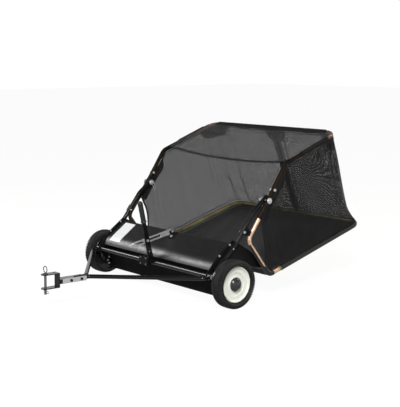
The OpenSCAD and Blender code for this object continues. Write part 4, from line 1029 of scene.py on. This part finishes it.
top[..., 0] = A * width_row[:, None]
top[..., 1] = SHOULDER[0] + TOP_DIR[0] * S + TOP_UP[0] * height
top[..., 2] = SHOULDER[1] + TOP_DIR[1] * S + TOP_UP[1] * height
pinned = np.zeros(S.shape, bool)
pinned[-1], pinned[:, 0], pinned[:, -1] = True, True, True
top = drape(top, pinned, frames=20, slack=0.004, cap=0.010)
sheet("hopper_top", top, 0.0010, MESH_TOP_PAINTED_LIT, replaces=("top_panel",))
TOP_N = grid_normals(top)
if TOP_N[20, 30, 2] < 0:
    TOP_N = -TOP_N
hem = top[0]
sweep("top_hem_cord", hem, circle(0.0042, 10), BINDING)
tape("top_hem_stitch", top[1] * 0.35 + top[2] * 0.65, TOP_N[1], 0.005, 0.0020, lift=0.0008)
tape("top_hem_stitch_under", top[1] * 0.35 + top[2] * 0.65, -TOP_N[1], 0.005, 0.0020, lift=0.0008)


def top_sleeve(name, s_from, s_to, steps_):
    """Gathered cloth wrapped over the top hoop between two stations."""
    stations = np.linspace(s_from, s_to, steps_)
    f = 1 + 0.5 * wobble(stations * 2, 47, 7, 3, 16)
    angles = np.linspace(-60, 138, 18)
    fullness = 0.0007 * np.sin(np.radians((angles + 60) * 0.9))
    grid = np.array([[hoop_ring(SHOULDER, TOP_DIR, TOP_LEN, s, a, WRAP + 0.0009 + g * e)
                      for a, e in zip(angles, fullness)] for s, g in zip(stations, f)])
    return sheet(name, grid, 0.0009, MESH_DOUBLE)


def top_at(t, j):
    """Point and upward normal on the top panel at a share t of its length and a column j."""
    i = float(np.clip(t, 0, 0.9999)) * (ROWS - 1)
    a, f = int(i), i - int(i)
    return top[a, j] * (1 - f) + top[a + 1, j] * f, unit(TOP_N[a, j] * (1 - f) + TOP_N[a + 1, j] * f)


band_cols = np.arange(2, COLS - 2)
band_edge = 0.875 + 0.012 * wobble(band_cols / COLS, 71, 6, 1, 8)
band_rows = [np.linspace(e, 0.985, 8) for e in band_edge]
band_spots = [[top_at(t, j) for t in ts] for j, ts in zip(band_cols, band_rows)]
band_grid = np.array([[p + n * 0.0022 for p, n in row] for row in band_spots])
sheet("top_rear_band", band_grid, 0.0010, MESH_DOUBLE)
# Painted shade: thin dark tapes laid along the top panel's fold lines stand in for the shade in its folds.
TOP_FOLD_SHADE_LINES = (  # share of the length, columns, width
    (0.872, 2, COLS - 3, 0.005), (0.79, 26, COLS - 4, 0.0035), (0.70, 46, COLS - 6, 0.0035),
    (0.60, 52, COLS - 8, 0.0030), (0.62, 4, 22, 0.0030),
)
for k, (t0, j0, j1, width) in enumerate(TOP_FOLD_SHADE_LINES):
    cols_ = np.arange(j0, j1)
    path_t = t0 + 0.014 * wobble(cols_ / COLS, 73 + k, 6, 1, 7)
    p, n = zip(*[top_at(t, j) for t, j in zip(path_t, cols_)])
    tape(f"top_fold_shade_{k}", p, n, width, 0.0018, lift=0.0012)

total = hoop_total(TOP_LEN)
side_end, rear_from = TOP_LEN - HOOP_R - 0.012, TOP_LEN - HOOP_R + HOOP_R * math.pi / 2 + 0.008
top_sleeve("top_sleeve_left", 0.135, side_end, 50)
top_sleeve("top_sleeve_right", total - side_end, total - 0.135, 50)
top_sleeve("top_sleeve_rear", rear_from, total - rear_from, 140)

# ---------------------------------------------------------------- tyres
LUGS, LUG_STEPS = 80, 6
BEAD_R = 0.0935  # where the tyre meets the rim
LUG_SHARE = 0.52  # share of the pitch that a lug takes


def tyre(name, node, body):
    lo, hi = box_np(node)
    mid, half_w, outer = (lo[0] + hi[0]) / 2, (hi[0] - lo[0]) / 2, (hi[2] - lo[2]) / 2
    n = LUGS * LUG_STEPS
    profile = []  # (x, r, tread weight, sidewall lug weight)
    for x in np.linspace(-0.62, 0.62, 25):
        profile.append((x * half_w, outer - 0.0012 - 0.0022 * x * x, 1.0, 0.0))
    for a in np.linspace(0.14, 1, 8):
        ang = a * math.pi / 2
        r = outer - 0.0021 - 0.014 * (1 - math.cos(ang))
        profile.append(((0.62 + 0.355 * math.sin(ang)) * half_w, r, 1 - a * 0.75, 0.6))
    for t in np.linspace(0.12, 1, 9):
        bulge = 0.975 + 0.02 * math.sin(math.pi * min(1, t * 1.4)) - 0.28 * max(0, (t - 0.40) / 0.60) ** 1.8
        profile.append((bulge * half_w, outer - 0.0161 - t * (outer - 0.0161 - BEAD_R - 0.002), 0.0,
                        1.0 if t < 0.36 else 0.0))
    outer_half = profile[12:]
    left = [(-x, r, w, s) for x, r, w, s in outer_half[1:]][::-1]
    loop = left + outer_half
    loop += [(loop[-1][0] - 0.004, BEAD_R, 0, 0), (0.0, BEAD_R, 0, 0), (loop[0][0] + 0.004, BEAD_R, 0, 0)]
    verts = []
    for i in range(n):
        a = 2 * math.pi * i / n
        for x, r, w, s in loop:
            phase = (i / LUG_STEPS + (0.5 if x > 0 else 0.0) + abs(x) / half_w * 0.35) % 1.0
            lug = 1.0 if phase < LUG_SHARE else 0.0
            groove = 0.0
            u = abs(x) / half_w
            if w > 0.2:
                if u < 0.34:
                    groove = 0.0022 if 0.12 < u < 0.20 else 0.0
                    groove = max(groove, 0.0012 * (1 - lug) if u < 0.12 else 0.0016 * (1 - lug))
                else:
                    groove = 0.0075 * (1 - lug) * w ** 0.5 if u > 0.40 else 0.0032
            elif w > 0.01:
                groove = 0.0045 * (1 - lug)
            ring_line = 0.0008 if (w == 0 and (abs(r - (BEAD_R + 0.010)) < 0.0016)) else 0.0
            radius = r - groove
            out = ring_line - 0.0034 * (1 - lug) * s
            x_out = mid + x + (out if x > 0 else -out)
            verts.append((x_out, radius * math.cos(a), AXLE_Z + radius * math.sin(a)))
    faces = grid_faces(n, len(loop), wrap_u=True, wrap_v=True)
    obj = make_object(name, verts, faces, RUBBER, body, replaces=(node,))
    return obj


tyre("tyre_tread_left", "tyre_left", "wheel_left")
tyre("tyre_tread_right", "tyre_right", "wheel_right")

# ---------------------------------------------------------------- brush
bl, bh = box_np("bristle_strips")
BRUSH_R = 0.0946
FIN_R = 0.0525
rng = np.random.default_rng(7)
verts, faces = [], []
for row in range(4):
    base = math.radians(45 + 90 * row)
    for x in np.arange(bl[0] + 0.006, bh[0] - 0.004, 0.0085):
        for _ in range(8):
            x0, off = x + rng.uniform(-0.0032, 0.0032), rng.uniform(-0.0042, 0.0042)
            x1 = x0 + rng.uniform(-0.0045, 0.0045)
            bend, tip = rng.uniform(-0.0050, 0.0050), BRUSH_R - rng.uniform(0, 0.004)
            radial = np.array([0, math.cos(base), math.sin(base)])
            side_v = np.array([0, -math.sin(base), math.cos(base)])
            centre = np.array([0, BRUSH[0], BRUSH[1]])
            root = centre + radial * (FIN_R + 0.006) + side_v * off + np.array([x0, 0, 0])
            half_way = np.array([(x0 + x1) / 2, 0, 0])
            mid_p = centre + radial * (FIN_R + tip) / 2 + side_v * (off + bend * 0.3) + half_way
            reach = math.sqrt(max(tip ** 2 - (off + bend) ** 2, 1e-6))
            end = centre + radial * reach + side_v * (off + bend) + np.array([x1, 0, 0])
            start = len(verts)
            for p, r in ((root, 0.0007), (mid_p, 0.0006), (end, 0.0003)):
                for q in range(3):
                    ang = q * 2 * math.pi / 3
                    verts.append(p + r * (math.cos(ang) * np.array([1, 0, 0]) + math.sin(ang) * side_v))
            for lv in (0, 3):
                for q in range(3):
                    a0, a1 = start + lv + q, start + lv + (q + 1) % 3
                    faces.append((a0, a1, a1 + 3, a0 + 3))
            faces += [(start + 2, start + 1, start), (start + 6, start + 7, start + 8)]
make_object("bristles", verts, faces, BRISTLE, "brush", replaces=("bristle_strips",))
for row in range(4):
    base = math.radians(45 + 90 * row)
    radial = np.array([0, math.cos(base), math.sin(base)])
    xs = np.linspace(bl[0] + 0.001, bh[0] - 0.001, 60)
    line = np.stack([xs, np.full(60, BRUSH[0]), np.full(60, BRUSH[1])], 1) + radial * (FIN_R + 0.0062)
    a = np.linspace(0, 2 * math.pi, 14, endpoint=False)
    bar = np.stack([0.0058 * np.sign(np.cos(a)) * np.abs(np.cos(a)) ** 0.5,
                    0.0055 * np.sign(np.sin(a)) * np.abs(np.sin(a)) ** 0.5], 1)
    scale = 1 + 0.06 * (np.arange(60) % 4 == 0)
    sweep(f"bristle_holder_{row}", line, bar[None] * scale[:, None, None], BLACK_PLASTIC, "brush",
          ups=radial)

# ---------------------------------------------------------------- lever grip
grip_co = np.array([vert.co for vert in frame["nodes"]["lever_grip"].data.vertices])
centre = grip_co.mean(0)
lean = math.radians(12.5)
axis = np.array([0, -math.sin(lean), math.cos(lean)])
along = (grip_co - centre) @ axis
low, high = along.min(), along.max()
cross_centre = centre.copy()
cross_centre[0] = (box_np("lever_grip")[0][0] + box_np("lever_grip")[1][0]) / 2
off = grip_co - cross_centre
mid_side = off @ np.array([0, math.cos(lean), math.sin(lean)])
side_way = np.array([0, math.cos(lean), math.sin(lean)])
cross_centre = cross_centre + side_way * (mid_side.max() + mid_side.min()) / 2
t = np.linspace(0, 1, 90)
radius = np.where(t < 0.05, 0.0165, 0.0139 + 0.0004 * np.sin(t * 2 * math.pi * 4))
radius = radius - 0.0009 * (np.cos(t * 2 * math.pi * 26) > 0.35) * (t > 0.10) * (t < 0.86)
cap_t = np.clip((t - 0.875) / 0.125, 0, 1)
radius = radius * np.sqrt(np.maximum(1 - cap_t ** 2, 0.0)) + 0.0006 * (cap_t > 0)
line = cross_centre + axis * (low + t * (high - low))[:, None]
rings = np.stack([circle(r, 32) for r in np.maximum(radius, 0.0006)])
grip = sweep("lever_grip_rubber", line, rings, GRIP, "draw_frame", ups=np.array([1.0, 0, 0]))
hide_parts("lever_grip")

# ---------------------------------------------------------------- stage, light, camera
def camera_only(tree, seen, other):
    """Shader seen by the camera, and another one for light that bounces."""
    path = tree.nodes.new("ShaderNodeLightPath")
    mix = tree.nodes.new("ShaderNodeMixShader")
    tree.links.new(path.outputs["Is Camera Ray"], mix.inputs[0])
    tree.links.new(other, mix.inputs[1])
    tree.links.new(seen, mix.inputs[2])
    return mix.outputs[0]


def glow(tree, strength, node="ShaderNodeEmission"):
    e = tree.nodes.new(node)
    e.inputs[0].default_value = (1, 1, 1, 1)
    e.inputs[1].default_value = strength
    return e.outputs[0]


def pale_floor():
    """Pale floor with hardly any shadow; it gives off less light than it shows."""
    m = Mat("pale_floor")
    d = m.t.nodes.new("ShaderNodeBsdfDiffuse")
    d.inputs[0].default_value = (0.9, 0.9, 0.9, 1)
    mix = m.t.nodes.new("ShaderNodeMixShader")
    mix.inputs[0].default_value = 0.92
    m.t.links.new(d.outputs[0], mix.inputs[1])
    m.t.links.new(glow(m.t, 1.03), mix.inputs[2])
    m.t.links.new(camera_only(m.t, mix.outputs[0], glow(m.t, FLOOR_LIGHT)), m.out.inputs[0])
    return m.m


FLOOR_LIGHT = 0.42
HORIZON_LIGHT, SKY_LIGHT = 0.90, 0.12
floor_mesh = bpy.data.meshes.new("studio_floor")
floor_mesh.from_pydata([(-30, -30, 0), (30, -30, 0), (30, 30, 0), (-30, 30, 0)], [], [(0, 1, 2, 3)])
floor_mesh.materials.append(pale_floor())
floor_obj = bpy.data.objects.new("studio_floor", floor_mesh)
floor_obj.location.z = -0.001
bpy.context.scene.collection.objects.link(floor_obj)

world = bpy.data.worlds.new("studio")
world.use_nodes = True
tree = world.node_tree
tree.nodes.clear()
direction = tree.nodes.new("ShaderNodeTexCoord")
parts = tree.nodes.new("ShaderNodeSeparateXYZ")
tree.links.new(direction.outputs["Generated"], parts.inputs[0])
height_map = tree.nodes.new("ShaderNodeMapRange")
height_map.interpolation_type = "SMOOTHSTEP"
tree.links.new(parts.outputs[2], height_map.inputs["Value"])
for key, value in (("From Min", 0.22), ("From Max", 0.48), ("To Min", HORIZON_LIGHT), ("To Max", SKY_LIGHT)):
    height_map.inputs[key].default_value = value
sky = tree.nodes.new("ShaderNodeBackground")
sky.inputs[0].default_value = (1, 1, 1, 1)
tree.links.new(height_map.outputs[0], sky.inputs[1])
world_out = tree.nodes.new("ShaderNodeOutputWorld")
seen_sky = glow(tree, 1.0, "ShaderNodeBackground")
tree.links.new(camera_only(tree, seen_sky, sky.outputs[0]), world_out.inputs[0])
bpy.context.scene.world = world


def area(name, place, target, size, power, colour=(1, 1, 1)):
    light = bpy.data.lights.new(name, "AREA")
    light.shape, light.size, light.size_y = "RECTANGLE", size[0], size[1]
    light.energy, light.color = power, colour
    obj = bpy.data.objects.new(name, light)
    obj.location = place
    obj.rotation_euler = (Vector(target) - Vector(place)).to_track_quat("-Z", "Y").to_euler()
    bpy.context.scene.collection.objects.link(obj)
    return obj


CENTRE = (0, 0.15, 0.3)
area("front_softbox", (-3.4, -2.0, 2.5), CENTRE, (2.0, 1.0), 85)
area("key_softbox", (3.0, -2.3, 3.1), CENTRE, (0.8, 0.8), 190)
area("warm_edge", (1.2, 3.2, 3.4), CENTRE, (0.5, 2.0), 60, (1.0, 0.80, 0.60))

CAMERA_AT = Vector((3.994, -3.209, 1.259))
RIGHT = Vector((0.6557, 0.7550, 0))
UP = Vector((-0.1143, 0.0993, 0.9884))
FORWARD = Vector((-0.7463, 0.6481, -0.1514))
camera = bpy.data.cameras.new("camera")
camera.lens, camera.sensor_width = 84.17, 36.0
cam = bpy.data.objects.new("camera", camera)
basis = Matrix((RIGHT, UP, -FORWARD)).transposed().to_4x4()
cam.matrix_world = Matrix.Translation(CAMERA_AT) @ basis
bpy.context.scene.collection.objects.link(cam)
bpy.context.scene.camera = cam
bpy.context.scene.view_settings.view_transform = "Standard"
